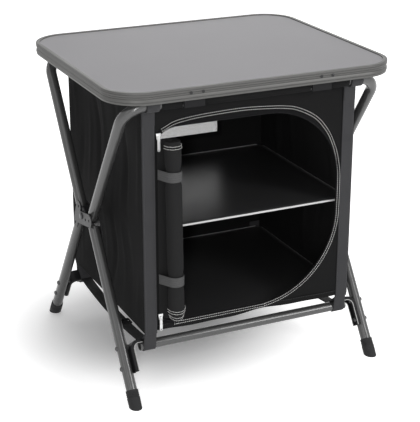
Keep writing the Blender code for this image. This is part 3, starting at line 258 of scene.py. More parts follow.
CLOTH_LOOK = {"specular": 0.03, "drift": 0.14, "weave": 1150.0, "bump": 0.45, "depth": 0.00018}
THREAD_LOOK = {"drift": 0.10, "grain": 2500.0, "bump": 0.3}
FINISHES = {
    "Laminate": recipe("laminate", 0.58, specular=0.25, drift=0.02, grain=650.0, bump=0.25, depth=0.00012,
                       rough_drift=0.05, dust=0.25),
    "Edging metal": recipe("rim", 0.46, metallic=0.30, specular=0.25, drift=0.05, grain=1400.0, bump=0.12,
                           depth=0.0001),
    "Coated tube": recipe("tube", 0.22, metallic=0.22, specular=0.70, drift=0.06, grain=1500.0, bump=0.18,
                          depth=0.00012, rough_drift=0.08),
    "Hinge plate": recipe((0.040, 0.040, 0.041), 0.42, metallic=0.25, specular=0.2, drift=0.10, grain=700.0,
                          bump=0.15),
    "Bright steel": recipe((0.88, 0.88, 0.88), 0.30, metallic=0.75, drift=0.05, grain=1200.0, bump=0.08),
    "Bright pull": recipe((0.86, 0.86, 0.86), 0.34, metallic=0.25, drift=0.04, grain=1500.0, bump=0.08),
    "Dark screw": recipe((0.035, 0.035, 0.036), 0.35, metallic=0.6, drift=0.05, grain=1500.0),
    "Dark steel": recipe((0.09, 0.09, 0.092), 0.38, metallic=0.6, drift=0.06, grain=1500.0),
    # Light grey of the beads along the brackets' edges: a painted highlight on the black moulding.
    "Bracket edge": recipe((0.52, 0.52, 0.51), 0.40, metallic=0.3, drift=0.05, grain=1500.0),
    "Black moulding": recipe((0.010, 0.010, 0.011), 0.50, specular=0.16, drift=0.10, grain=1100.0, bump=0.30,
                             depth=0.00015),
    "Foot rubber": recipe((0.016, 0.016, 0.017), 0.62, specular=0.3, grain=800.0, bump=0.35, dust=0.5),
    "Coated cloth": recipe("cloth", 0.78, **CLOTH_LOOK, sheen=0.004),
    # The rolled door is the wall cloth with its tone raised 1.6 times: a painted lighter copy for the light
    # the round roll catches.
    "Rolled cloth": recipe("cloth", 0.78, **CLOTH_LOOK, sheen=0.012, gain=1.6),
    "Board covering": recipe((0.042, 0.042, 0.043), 0.31, specular=0.46, drift=0.06, weave=900.0, bump=0.12,
                             depth=0.0001, sheen=0.01, rough_drift=0.015),
    "Corner webbing": recipe("webbing", 0.78, specular=0.12, drift=0.08, ribs=(390.0, 520.0), bump=0.85,
                             depth=0.0005, sheen=0.05),
    "Black strap": recipe((0.014, 0.014, 0.015), 0.70, specular=0.3, drift=0.10, ribs=(620.0, 520.0),
                          bump=0.7, depth=0.0004),
    "Elastic": recipe("elastic", 0.75, specular=0.15, drift=0.08, ribs=(236.0, 420.0), bump=1.0,
                      depth=0.0009),
    "Zip tape": recipe((0.013, 0.013, 0.014), 0.80, specular=0.08, drift=0.10, ribs=(900.0, 900.0), bump=0.5),
    "Vent net": recipe((0.09, 0.09, 0.09), 0.60, specular=0.06, drift=0.08, grain=2000.0, bump=0.2,
                       depth=0.0001),
    "White edging": recipe((0.80, 0.80, 0.80), 0.38, drift=0.03, bump=0.1, depth=0.0001),
    "Pale edge tape": recipe((0.62, 0.62, 0.62), 0.60, drift=0.08, grain=1600.0, bump=0.2),
    "Grey edge tape": recipe((0.20, 0.20, 0.20), 0.55, drift=0.08, grain=1600.0, bump=0.2),
    "Light thread": recipe((0.88, 0.88, 0.86), 0.60, **THREAD_LOOK),
    "Dark thread": recipe((0.045, 0.045, 0.047), 0.60, **THREAD_LOOK),
    "Grey thread": recipe((0.030, 0.030, 0.034), 0.60, **THREAD_LOOK),
    "Webbing thread": recipe((0.085, 0.085, 0.092), 0.60, **THREAD_LOOK),
}
DUST_TONE, SHEEN_ROUGHNESS, LEAST_ROUGHNESS = (0.55, 0.55, 0.54), 0.45, 0.05
GAP_SHARE, GAP_TONE, RIB_SHARE, RIB_TONE = 0.55, 0.45, 0.5, 0.72


def finish(name):
    """A finish by name, made when it is first asked for."""
    return bpy.data.materials.get(name) or surface(name, **FINISHES[name])


def surface(name, tone, roughness, metallic=0.0, specular=0.5, drift=0.12, grain=900.0, bump=0.02,
            depth=0.0002, weave=None, ribs=None, sheen=0.0, rough_drift=0.12, dust=0.0, gain=1.0):
    """A tone that drifts, grain or a weave in its bump, and a roughness that varies."""
    if isinstance(tone, str):
        tone = tuple(getattr(bpy.context.scene.cupboard_colours, tone))
    # A gain above 1 paints a lighter copy of a tone.
    tone = scaled(tone, gain)
    made = bpy.data.materials.new(name)
    made.use_nodes = True
    tree = made.node_tree
    spot = add(tree, "ShaderNodeTexCoord").outputs
    field = place_group(tree, "Grain and drift", spot["Object"], {"Grain scale": grain})
    base = mixed(tree, field["Drift"], scaled(tone, 1 - drift), scaled(tone, 1 + drift))
    height = field["Grain"]
    if weave:
        cloth = place_group(tree, "Plain weave", spot["UV"], {"Yarns per metre": weave})
        height = cloth["Height"]
        base = mixed(tree, maths(tree, "MULTIPLY", cloth["Gaps"], GAP_SHARE), base, scaled(tone, GAP_TONE))
    elif ribs:
        height = place_group(tree, "Ribbed band", spot["UV"],
                             {"Ribs per metre": ribs[0], "Picks per metre": ribs[1]})["Height"]
        base = mixed(tree, maths(tree, "MULTIPLY", height, RIB_SHARE), scaled(tone, RIB_TONE), base)
    if dust:
        mask = place_group(tree, "Dust", spot["Object"], {"Amount": dust})["Mask"]
        base = mixed(tree, mask, base, DUST_TONE)
    rough = add(tree, "ShaderNodeMapRange", {
        "Value": field["Drift"], "To Min": max(LEAST_ROUGHNESS, roughness - rough_drift),
        "To Max": min(1.0, roughness + rough_drift)})
    relief = add(tree, "ShaderNodeBump", {"Height": height, "Strength": bump, "Distance": depth})
    feed(tree, tree.nodes["Principled BSDF"], {
        "Base Color": base, "Roughness": rough, "Normal": relief, "Metallic": metallic,
        "Specular IOR Level": specular, "Sheen Weight": sheen, "Sheen Roughness": SHEEN_ROUGHNESS})
    return made


# Mesh helpers

def link(name, data):
    item = bpy.data.objects.new(name, data)
    bpy.context.scene.collection.objects.link(item)
    return item


def bake(item):
    """Replaces an object's mesh by its evaluated one and drops the modifiers."""
    graph = bpy.context.evaluated_depsgraph_get()
    graph.update()
    mesh = bpy.data.meshes.new_from_object(item.evaluated_get(graph), preserve_all_data_layers=True,
                                           depsgraph=graph)
    item.modifiers.clear()
    item.data = mesh
    return item


def smooth(mesh, sharp):
    mesh.shade_smooth()
    mesh.set_sharp_from_angle(angle=math.radians(sharp))


def make_object(name, shape, look, sharp=32.0, solid=True):
    """Turns a bmesh into an object; a solid one gets its faces turned outward."""
    if solid:
        bmesh.ops.recalc_face_normals(shape, faces=shape.faces)
    mesh = bpy.data.meshes.new(name)
    shape.to_mesh(mesh)
    shape.free()
    smooth(mesh, sharp)
    mesh.materials.append(finish(look) if isinstance(look, str) else look)
    return link(name, mesh)


def place(item, body, slot, *nodes):
    """Lets a finished piece ride on its body and stand for its CAD nodes."""
    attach(item, body)
    if nodes:
        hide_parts(*nodes)
    return item


def dress(node, look):
    """Gives a CAD node that stays in view its finish."""
    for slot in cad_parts[node].material_slots:
        slot.material = finish(look)


def arc(centre, radii, start, stop, steps):
    return [(centre[0] + radii[0] * math.cos(start + (stop - start) * i / steps),
             centre[1] + radii[1] * math.sin(start + (stop - start) * i / steps)) for i in range(steps + 1)]


def spread(half, steps):
    """Even places from -half to half."""
    return [half * (2 * i / steps - 1) for i in range(steps + 1)]


def circle(radius, sides):
    return [(radius * math.cos(2 * math.pi * i / sides), radius * math.sin(2 * math.pi * i / sides))
            for i in range(sides)]


def rounded_rectangle(half_width, half_height, radius, steps):
    points = []
    for turn, (x_sign, y_sign) in enumerate(((1, 1), (-1, 1), (-1, -1), (1, -1))):
        centre = (x_sign * (half_width - radius), y_sign * (half_height - radius))
        points += arc(centre, (radius, radius), turn * math.pi / 2, (turn + 1) * math.pi / 2, steps)
    return points


def bridge(shape, first, second):
    for i in range(len(first)):
        j = (i + 1) % len(first)
        shape.faces.new((first[i], first[j], second[j], second[i]))


def skin(shape, rings, closed=False, caps=True):
    """Joins rings one to the next; the last one joins the first, or both ends are capped."""
    for first, second in zip(rings, rings[1:]):
        bridge(shape, first, second)
    if closed:
        bridge(shape, rings[-1], rings[0])
    elif caps:
        shape.faces.new(rings[0])
        shape.faces.new(rings[-1])


def sweep(shape, path, normal, section, closed=False, caps=True):
    """Carries a closed section along a path in one plane: (along the normal, across the path)."""
    sharpest = 0.4
    rings = []
    for i, point in enumerate(path):
        legs = []
        if closed or i:
            legs.append((point - path[i - 1]).normalized())
        if closed or i + 1 < len(path):
            legs.append((path[(i + 1) % len(path)] - point).normalized())
        tangent = sum(legs, Vector()).normalized()
        across = tangent.cross(normal).normalized()
        mitre = 1 / max(sharpest, tangent.dot(legs[0]))
        rings.append([shape.verts.new(point + normal * a + across * (b * mitre)) for a, b in section])
    skin(shape, rings, closed, caps)
    return rings


def swept(name, path, normal, section, look, closed=False, sharp=32.0):
    shape = bmesh.new()
    sweep(shape, path, normal, section, closed)
    return make_object(name, shape, look, sharp)


def tube(name, path, normal, radius, sides=40):
    """An open coated tube with its wall shown at each end."""
    shape = bmesh.new()
    outer, inner = (sweep(shape, path, normal, circle(reach, sides), caps=False)
                    for reach in (radius, radius - TUBE_WALL))
    for end in (0, -1):
        bridge(shape, outer[end], inner[end])
    return make_object(name, shape, "Coated tube")


def lathe_shape(shape, profile, centre, axis, sides):
    """Turns (radius, height) points about an axis; the first and last lie on it."""
    first = axis.orthogonal().normalized()
    second = axis.cross(first)
    rings = []
    for radius, height in profile:
        ring = circle(radius, sides) if radius else [(0, 0)]
        rings.append([shape.verts.new(centre + axis * height + first * a + second * b) for a, b in ring])
    for low, high in zip(rings, rings[1:]):
        if len(low) == len(high):
            bridge(shape, low, high)
            continue
        tip, ring = (low[0], high) if len(low) == 1 else (high[0], low)
        for i, vert in enumerate(ring):
            shape.faces.new((tip, vert, ring[(i + 1) % len(ring)]))


def grid_sheet(name, rows, look, thickness, flat, closed=False, inward=None):
    """A sheet from rows of points, thickened on both sides; flat gives the flat place of row r, column c."""
    sharp = 60.0
    shape = bmesh.new()
    layer = shape.loops.layers.uv.new("UVMap")
    verts = [[shape.verts.new(point) for point in row] for row in rows]
    for r in range(len(rows) - 1):
        for c in range(len(rows[r]) - (0 if closed else 1)):
            d = (c + 1) % len(rows[r])
            spots = ((r, c), (r, d), (r + 1, d), (r + 1, c))
            face = shape.faces.new([verts[a][b] for a, b in spots])
            for loop, spot in zip(face.loops, spots):
                loop[layer].uv = flat(*spot)
    if inward is not None:
        shape.normal_update()
        if sum(face.normal.dot(inward) for face in shape.faces) > 0:
            bmesh.ops.reverse_faces(shape, faces=shape.faces)
    item = make_object(name, shape, look, sharp, solid=False)
    thick = item.modifiers.new("thickness", "SOLIDIFY")
    thick.thickness = thickness
    thick.offset = 0.0
    thick.use_even_offset = True
    smooth(bake(item).data, sharp)
    return item


def band(name, path, normal, section, across, look, sharp):
    """Sweeps a band with flat coordinates in metres: along one side of its section and along its path."""
    shape = bmesh.new()
    layer = shape.loops.layers.uv.new("UVMap")
    rings = sweep(shape, path, normal, section)
    spots, run = {}, 0.0
    for index, ring in enumerate(rings):
        if index:
            run += (path[index] - path[index - 1]).length
        for vert, corner in zip(ring, section):
            spots[vert] = (corner[across], run)
    for face in shape.faces:
        for loop in face.loops:
            loop[layer].uv = spots[loop.vert]
    return make_object(name, shape, look, sharp)


def ribbon(name, path, side, width, thickness, look):
    """A flat band with soft edges that bends over its path."""
    softness, softest = 0.8, 0.0005
    a, b = width / 2, thickness / 2
    edge = min(b * softness, softest)
    half = [(-a, -b + edge), (-a + edge, -b), (-a / 2, -b), (0, -b), (a / 2, -b), (a - edge, -b),
            (a, -b + edge)]
    return band(name, path, side, half + [(-x, -y) for x, y in half], 0, look, 50.0)


def flat_band(name, path, normal, width, thickness, look):
    """A flat strip that lies in the plane of its path."""
    a, b = thickness / 2, width / 2
    return band(name, path, normal, [(-a, -b), (-a, 0), (-a, b), (a, b), (a, 0), (a, -b)], 1, look, 40.0)


# Geometry node trees

def repeat_tree(name, inputs):
    tree, source, sink = new_tree(name, "GeometryNodeTree",
                                  [("Geometry", "Geometry", None), *inputs, ("Material", "Material", None)],
                                  [("Geometry", "Geometry")])
    return tree, source, sink


def close_tree(tree, source, sink, repeats):
    """Makes the repeats real, smooth and finished."""
    real = add(tree, "GeometryNodeRealizeInstances", {0: repeats})
    soft = add(tree, "GeometryNodeSetShadeSmooth", {0: real})
    paint = add(tree, "GeometryNodeSetMaterial", {0: soft, "Material": source["Material"]})
    feed(tree, sink, {0: paint})
    return tree


def facing_field(tree):
    return add(tree, "GeometryNodeInputNamedAttribute", {"Name": "facing"}, data_type="FLOAT_VECTOR")


def copies(tree, points, pattern, turn, sizes):
    size = add(tree, "ShaderNodeCombineXYZ", enumerate(sizes))
    return add(tree, "GeometryNodeInstanceOnPoints",
               {"Points": points, "Instance": pattern, "Rotation": turn, "Scale": size})


def line_tree():
    """Repeats a small bar along lines, flat to the surface that each point's facing gives."""
    tree, source, sink = repeat_tree("Repeat along lines", [
        ("Pitch", "Float", 0.004), ("Length", "Float", 0.003), ("Width", "Float", 0.001),
        ("Height", "Float", 0.0008), ("Round", "Bool", True)])
    curve = add(tree, "GeometryNodeMeshToCurve", {0: source["Geometry"]})
    points = add(tree, "GeometryNodeCurveToPoints", {"Curve": curve, "Length": source["Pitch"]},
                 mode="LENGTH")
    along = add(tree, "FunctionNodeAlignRotationToVector", {"Vector": points.outputs["Tangent"]}, axis="X")
    upright = add(tree, "FunctionNodeAlignRotationToVector",
                  {"Rotation": along, "Vector": facing_field(tree)}, axis="Z", pivot_axis="X")
    ball = add(tree, "GeometryNodeMeshUVSphere", {"Segments": 6, "Rings": 4, "Radius": 0.5})
    block = add(tree, "GeometryNodeMeshCube", {"Size": (1, 1, 1)})
    shape = add(tree, "GeometryNodeSwitch", {"Switch": source["Round"], "False": block, "True": ball},
                input_type="GEOMETRY")
    sizes = [source[name] for name in ("Length", "Width", "Height")]
    return close_tree(tree, source, sink, copies(tree, points, shape, upright, sizes))


def spot_tree():
    """Sets a turned head on every point, facing the way that the point's facing gives."""
    tree, source, sink = repeat_tree("Heads on points", [
        ("Radius", "Float", 0.003), ("Rise", "Float", 0.0012), ("Head", "Object", None)])
    points = add(tree, "GeometryNodeMeshToPoints", {0: source["Geometry"]})
    turn = add(tree, "FunctionNodeAlignRotationToVector", {"Vector": facing_field(tree)}, axis="Z")
    head = add(tree, "GeometryNodeObjectInfo", {0: source["Head"]}).outputs["Geometry"]
    sizes = [source[name] for name in ("Radius", "Radius", "Rise")]
    return close_tree(tree, source, sink, copies(tree, points, head, turn, sizes))


def strand_tree():
    """Gives every line of a net a round strand."""
    tree, source, sink = repeat_tree("Net strands", [("Strand", "Float", 0.0003)])
    curve = add(tree, "GeometryNodeMeshToCurve", {0: source["Geometry"]})
    ring = add(tree, "GeometryNodeCurvePrimitiveCircle", {"Resolution": 4, "Radius": source["Strand"]})
    strand = add(tree, "GeometryNodeCurveToMesh", {"Curve": curve, "Profile Curve": ring, "Fill Caps": True})
    return close_tree(tree, source, sink, strand)


TREES = {"Repeat along lines": line_tree, "Heads on points": spot_tree, "Net strands": strand_tree}


def grow(name, lines, look, tree_name, **values):
    """Builds a repeat: lines are lists of (point, facing) pairs; the result is one plain mesh."""
    shape = bmesh.new()
    facing = shape.verts.layers.float_vector.new("facing")
    for line in lines:
        verts = []
        for point, direction in line:
            vert = shape.verts.new(point)
            vert[facing] = direction
            verts.append(vert)
        for pair in zip(verts, verts[1:]):
            shape.edges.new(pair)
    mesh = bpy.data.meshes.new(name)
    shape.to_mesh(mesh)
    shape.free()
    item = link(name, mesh)
    tree = bpy.data.node_groups.get(tree_name) or TREES[tree_name]()
    repeat = item.modifiers.new("repeat", "NODES")
    repeat.node_group = tree
    sockets = {s.name: s.identifier for s in tree.interface.items_tree if s.in_out == "INPUT"}
    for key, value in {**values, "Material": finish(look)}.items():
        repeat[sockets[key]] = value
    bake(item)
    left_over = item.data.attributes.get("facing")
    if left_over:
        item.data.attributes.remove(left_over)
    return item


def sew(name, lines, look, body, slot, stitch=None):
    """Places rows of stitches; a stitch is its length, the pitch and the thread's width."""
    flatness = 0.8
    sizes = settings()
    length, pitch, width = stitch or (sizes.stitch_length, sizes.stitch_pitch, sizes.thread)
    thread = grow(name, lines, look, "Repeat along lines", Pitch=pitch, Length=length, Width=width,
                  Height=width * flatness, Round=True)
    place(thread, body, slot)


def upright_line(end, y, points):
    """A line for a repeat through (x, z) points, facing out of an end of the cupboard."""
    return [(Vector((x, y, z)), Y_AXIS * end.sign) for x, z in points]


def head_pattern():
    """A domed screw head with a cross recess, one unit in radius and rise."""
    found = bpy.data.objects.get("head_pattern")
    if found:
        return found
    sides, per_arm = 24, 6
    slot_reach, web_reach, taper, recess = 0.42, 0.16, 0.85, 0.35
    dome = ((1.0, -0.6), (1.0, 0.25), (0.93, 0.55), (0.70, 0.85), (slot_reach, 1.0))
    shape = bmesh.new()
    rings = [[shape.verts.new((a, b, height)) for a, b in circle(radius, sides)]
             for radius, height in dome]
    cross = []
    for i in range(sides):
        reach = slot_reach if i % per_arm in (0, 1, per_arm - 1) else web_reach
        angle = 2 * math.pi * i / sides
        across, along = reach * math.cos(angle) * taper, reach * math.sin(angle) * taper
        cross.append(shape.verts.new((across, along, recess)))
    skin(shape, rings + [cross])
    item = make_object("head_pattern", shape, "Bright steel", 30.0)
    item.hide_render = True
    item.hide_viewport = True
    return item


def screws(name, spots, look, radius, rise):
    return grow(name, [[spot] for spot in spots], look, "Heads on points", Radius=radius, Rise=rise,
                Head=head_pattern())


# Places on the folding frame

def leg_point(end, upper, reach, x=0.0):
    lift = -LEG_OFFSET * SINE + reach * COSINE if upper else LEG_OFFSET * SINE - reach * COSINE
    return Vector((x, end.sign * (LEG_OFFSET * COSINE + reach * SINE), PIVOT_HEIGHT + lift))


def leg_direction(end, upper):
    return Vector((0, end.sign * SINE, COSINE if upper else -COSINE))


def lower_leg_outward(end):
    return Vector((0, end.sign * COSINE, SINE))


def crossbar_centre(end):
    return leg_point(end, False, FOOT_REACH - CROSSBAR_FROM_FOOT) + lower_leg_outward(end) * CROSSBAR_OUT


def top_bar_centre(end):
    return leg_point(end, True, TOP_REACH)


class CupboardOperator(bpy.types.Operator):
    """Base of the cupboard's operators."""

    bl_options = {"REGISTER", "UNDO"}

    def execute(self, context):
        self.build()
        return {"FINISHED"}


def shown_rays(tree):
    """1 for the rays that show the pale studio: camera, reflection and transmission."""
    path = add(tree, "ShaderNodeLightPath").outputs
    clear = maths(tree, "MAXIMUM", path["Is Glossy Ray"], path["Is Transmission Ray"])
    return maths(tree, "MAXIMUM", path["Is Camera Ray"], clear)


class CUPBOARD_OT_stage(CupboardOperator):
    """Camera at the photograph's viewpoint, pale floor and soft studio light"""

    bl_idname = "cupboard.stage"
    bl_label = "Studio"

    CAMERA_PLACE = Vector((-1.0827, -2.3190, 1.2634))
    YAW, PITCH, ROLL = math.radians(-25.16), math.radians(20.94), math.radians(0.1)
    FOCAL_PIXELS, LONG_SIDE, SENSOR, CLIP_END = 1291.2, 422.0, 36.0, 60.0
    # Place, aim, width, height and watts
    LAMPS = (((0.25, 0.35, 2.60), (0, 0, 0.30), 2.6, 2.2, 14.0),
             ((-2.60, -1.30, 1.70), (0, 0, 0.35), 0.4, 1.8, 4.5),
             ((1.60, -2.60, 1.50), (-0.05, 0, 0.35), 1.0, 1.2, 29.0),
             ((1.15, 2.50, 1.40), (0, 0, 0.40), 1.3, 1.3, 7.5),
             ((-1.30, -2.50, 1.00), (0.15, 0, 0.42), 0.14, 1.1, 15.0))
    WHITE, FLOOR_TONE, FLOOR_REACH, FILL = (1, 1, 1, 1), (0.93, 0.93, 0.935, 1), 9.0, 0.34
    # Floor glow for shown rays: GLOW_NEAR in a disc under the cupboard, rising to GLOW_FAR further out; the
    # low disc is a painted shadow.
    GLOW_CENTRE, GLOW_REACH, GLOW_NEAR, GLOW_FAR = (-0.10, 0.10, 0.0), (0.11, 0.43), 0.08, 0.85

    def build(self):
        scene = bpy.context.scene
        scene.view_settings.view_transform = "Standard"
        self.camera(scene)
        self.floor()
        self.world(scene)
        for index, (spot, aim, width, height, power) in enumerate(self.LAMPS):
            data = bpy.data.lights.new(f"lamp_{index}", "AREA")
            data.shape = "RECTANGLE"
            data.size, data.size_y = width, height
            data.energy = power
            lamp = link(f"lamp_{index}", data)
            lamp.location = spot
            lamp.rotation_mode = "QUATERNION"
            lamp.rotation_quaternion = (Vector(aim) - Vector(spot)).to_track_quat("-Z", "Y")

    def camera(self, scene):
        lens = bpy.data.cameras.new("camera")
        lens.sensor_fit = "AUTO"
        lens.sensor_width = self.SENSOR
        lens.lens = self.FOCAL_PIXELS / self.LONG_SIDE * self.SENSOR
        lens.clip_end = self.CLIP_END
        level = math.cos(self.PITCH)
        forward = Vector((-math.sin(self.YAW) * level, math.cos(self.YAW) * level, -math.sin(self.PITCH)))
        right = forward.cross(Z_AXIS).normalized()
        turn = Matrix.Rotation(-self.ROLL, 3, forward)
        axes = Matrix((turn @ right, turn @ right.cross(forward), turn @ -forward)).transposed()
        scene.camera = link("camera", lens)
        scene.camera.matrix_world = Matrix.Translation(self.CAMERA_PLACE) @ axes.to_4x4()

    def floor(self):
        shape = bmesh.new()
        shape.faces.new([shape.verts.new((a * self.FLOOR_REACH, b * self.FLOOR_REACH, 0))
                         for a, b in ((-1, -1), (1, -1), (1, 1), (-1, 1))])
        make_object("floor", shape, self.floor_finish(), solid=False)

    def floor_finish(self):
        """Pale floor that glows less under the cupboard; the dip in its glow is a painted shadow, on top of
        the shadow that the lamps cast.
        """
        made = bpy.data.materials.new("Studio floor")
        made.use_nodes = True
        tree = made.node_tree
        spot = add(tree, "ShaderNodeTexCoord").outputs["Object"]
        away = add(tree, "ShaderNodeVectorMath", {0: spot, 1: self.GLOW_CENTRE}, operation="DISTANCE")
        low, high = self.GLOW_REACH
        painted_shadow_glow = add(tree, "ShaderNodeMapRange", interpolation_type="SMOOTHSTEP",
                   inputs={"Value": away.outputs["Value"], "From Min": low, "From Max": high,
                           "To Min": self.GLOW_NEAR, "To Max": self.GLOW_FAR})
        feed(tree, tree.nodes["Principled BSDF"], {
            "Base Color": self.FLOOR_TONE, "Roughness": 0.9, "Specular IOR Level": 0.1,
            "Emission Color": self.WHITE,
            "Emission Strength": maths(tree, "MULTIPLY", painted_shadow_glow.outputs["Result"], shown_rays(tree))})
        return made

    def world(self, scene):
        world = bpy.data.worlds.new("studio")
        world.use_nodes = True
        scene.world = world
        tree = world.node_tree
        tree.nodes.clear()
        fill, shown = (add(tree, "ShaderNodeBackground", {"Color": self.WHITE, "Strength": strength})
                       for strength in (self.FILL, 1.0))
        join = add(tree, "ShaderNodeMixShader", {0: shown_rays(tree), 1: fill, 2: shown})
        add(tree, "ShaderNodeOutputWorld", {0: join})


class CUPBOARD_OT_table(CupboardOperator):
    """Laminate panel, grooved metal edging and its screws"""

    bl_idname = "cupboard.table"
    bl_label = "Tabletop"

    CORNER_STEPS, WALL_STEPS = 24, 48
    SCREW_PLACES, SCREW_HEIGHT, SCREW_RISE = (-0.1510, -0.1265, 0.1210, 0.1455), 0.6265, 0.0011
    FINE_GROOVES, GROOVE_DEPTH, GROOVE_SHARE = (0.17, 0.36, 0.52, 0.80), 0.0009, 0.026
    WALL_SHARE, FLAT_SHARE = 0.90, 0.25
    SEEN_FLANGE, FLANGE_SOFT = 0.0086, 0.0008

    def build(self):
        self.rim()
        self.panel()
        spots = [(Vector((x, end.sign * TABLE_DEPTH / 2, self.SCREW_HEIGHT)), Y_AXIS * end.sign)
                 for end in ENDS for x in self.SCREW_PLACES]
        heads = screws("rim_screws", spots, "Dark screw", settings().screw_radius, self.SCREW_RISE)
        place(heads, "tabletop", "steel")
        for end in ENDS:
            for side in SIDES:
                dress(f"bar_clip_{end.word}_{side.word}", "Black moulding")

    def path(self, inset, height):
        outline = rounded_rectangle(TABLE_WIDTH / 2 - inset, TABLE_DEPTH / 2 - inset, TABLE_CORNER - inset,
                                    self.CORNER_STEPS)
        return [Vector((x, y, height)) for x, y in outline]

    def wall(self):
        """Outer face of the edging from the bottom up: two shallow swells with fine grooves."""
        points = []
        for i in range(self.WALL_STEPS + 1):
            share = 1 - i / self.WALL_STEPS * self.WALL_SHARE
            out = -RIM_BULGE * (0.5 + 0.5 * math.cos(4 * math.pi * share))
            if share < self.FLAT_SHARE:
                out = 0.0
            if any(abs(share - groove) < self.GROOVE_SHARE for groove in self.FINE_GROOVES):
                out -= self.GROOVE_DEPTH
            points.append((out, -RIM_HEIGHT * share))
        return points

    def rim(self):
        slot_top = -PANEL_RECESS - PANEL_STEP + GAP
        ledge = -PANEL_RECESS - PANEL_THICKNESS - GAP
        inner = -RIM_WALL - RIM_BULGE
        flange, soft = -self.SEEN_FLANGE, self.FLANGE_SOFT
        profile = arc((-RIM_WALL, -RIM_WALL), (RIM_WALL, RIM_WALL), 0, math.pi / 2, 5)
        profile += [(flange + RIM_WALL / 2, 0)]
        profile += arc((flange + soft, -soft), (soft, soft), math.pi / 2, math.pi, 3)[1:]
        profile += [(flange, slot_top), (-RIM_LIP, slot_top), (-RIM_LIP, ledge), (-RIM_FLANGE, ledge),
                    (-RIM_FLANGE, ledge - RIM_WALL), (inner, ledge - RIM_WALL), (inner, -RIM_HEIGHT)]
        profile += self.wall()
        item = swept("edging", self.path(0, TABLE_HEIGHT), Z_AXIS, [(up, out) for out, up in profile],
                     "Edging metal", closed=True, sharp=28.0)
        place(item, "tabletop", "rim", "tabletop_rim")

    def panel(self):
        top = TABLE_HEIGHT - PANEL_RECESS
        hidden, field = RIM_LIP + GAP, self.SEEN_FLANGE + GAP
        rows = ((hidden, top - PANEL_THICKNESS), (hidden, top - PANEL_STEP), (field, top - PANEL_STEP),
                (field, top - PANEL_SOFT), (field + PANEL_SOFT, top))
        shape = bmesh.new()
        skin(shape, [[shape.verts.new(point) for point in self.path(*row)] for row in rows])
        place(make_object("laminate_panel", shape, "Laminate"), "tabletop", "laminate", "tabletop_panel")


class CUPBOARD_OT_tubes(CupboardOperator):
    """Bent upper frames, lower legs, crossbars, feet and the hub"""

    bl_idname = "cupboard.tubes"
    bl_label = "Folding frame"

    BEND_STEPS, FOOT_SIDES = 20, 40
    FOOT_LENGTH, FOOT_WALL, FOOT_SOLE, FOOT_RIM = 0.0165, 0.0013, 0.009, 0.0008
    RIBS, FIRST_RIB, RIB_PITCH, RIB_TAPER, RIB_DEPTH = 3, 0.10, 0.22, 0.0001, 0.0007
    RIB_HEIGHTS, CUFF = (0.0, 0.0006, 0.0016, 0.0022), (0.80, 0.97)
    UPPER_START, LOWER_START = 0.020, 0.032
    BAR_HALF = 0.2335

    def build(self):
        for end in ENDS:
            self.upper(end)
            centre = crossbar_centre(end)
            path = [centre - X_AXIS * self.BAR_HALF, centre + X_AXIS * self.BAR_HALF]
            bar = tube(f"crossbar_tube_{end.word}", path, Y_AXIS, BAR_RADIUS)
            place(bar, end.lower, "tube", f"crossbar_{end.word}")
            for side in SIDES:
                self.lower(end, side)
                self.foot(end, side)
                dress(f"hub_plate_{end.word}_{side.word}", "Hinge plate")
        for side in SIDES:
            dress(f"hub_spacer_{side.word}", "Black moulding")
            dress(f"pivot_bolt_{side.word}", "Dark steel")

    def upper(self, end):
        straight, low = LEG_PLANE - TOP_BEND, TOP_REACH - TOP_BEND
        half = [leg_point(end, True, self.UPPER_START, LEG_PLANE)]
        for across, climb in arc((straight, low), (TOP_BEND, TOP_BEND), 0, math.pi / 2, self.BEND_STEPS):
            half.append(leg_point(end, True, climb, across))
        path = half + [Vector((-p.x, p.y, p.z)) for p in reversed(half)]
        item = tube(f"bent_tube_{end.word}", path, leg_direction(end, True).cross(X_AXIS), TUBE_RADIUS)
        place(item, end.upper, "tube", f"upper_frame_{end.word}")

    def lower(self, end, side):
        stop = FOOT_REACH - (self.FOOT_SOLE + TUBE_RADIUS * SINE) / COSINE
        path = [leg_point(end, False, reach, side.sign * LEG_PLANE) for reach in (self.LOWER_START, stop)]
        item = tube(f"leg_tube_{end.word}_{side.word}", path, X_AXIS, TUBE_RADIUS)
        place(item, end.lower, "tube", f"lower_leg_{end.word}_{side.word}")

    def foot(self, end, side):
        """Ribbed rubber cup, cut level with the ground."""
        centre = leg_point(end, False, FOOT_REACH, side.sign * LEG_PLANE)
        inner = TUBE_RADIUS + GAP
        outer = inner + self.FOOT_WALL
        swell = outer + self.FOOT_WALL / 3
        floor = -(self.FOOT_SOLE + TUBE_RADIUS * SINE) / COSINE + GAP
        rim = floor - self.FOOT_LENGTH
        profile = [(0, outer), (outer, outer), (swell, floor)]
        for i in range(self.RIBS):
            high = floor - self.FOOT_LENGTH * (self.FIRST_RIB + self.RIB_PITCH * i)
            crest, groove = swell - self.RIB_TAPER * i, swell - self.RIB_DEPTH
            profile += [(radius, high - drop)
                        for radius, drop in zip((crest, groove, groove, crest), self.RIB_HEIGHTS)]
        profile += [(outer, floor - self.FOOT_LENGTH * share) for share in self.CUFF]
        profile += [(outer - self.FOOT_RIM, rim), (inner, rim), (inner, floor), (0, floor)]
        shape = bmesh.new()
        lathe_shape(shape, profile, centre, leg_direction(end, False), self.FOOT_SIDES)
        cut = bmesh.ops.bisect_plane(shape, geom=shape.verts[:] + shape.edges[:] + shape.faces[:],
                                     plane_co=Vector((0, 0, 0)), plane_no=-Z_AXIS, clear_outer=True)
        edges = [part for part in cut["geom_cut"] if isinstance(part, bmesh.types.BMEdge)]
        bmesh.ops.contextual_create(shape, geom=edges)
        item = make_object(f"rubber_foot_{end.word}_{side.word}", shape, "Foot rubber", 25.0)
        place(item, end.lower, "rubber", f"foot_{end.word}_{side.word}")


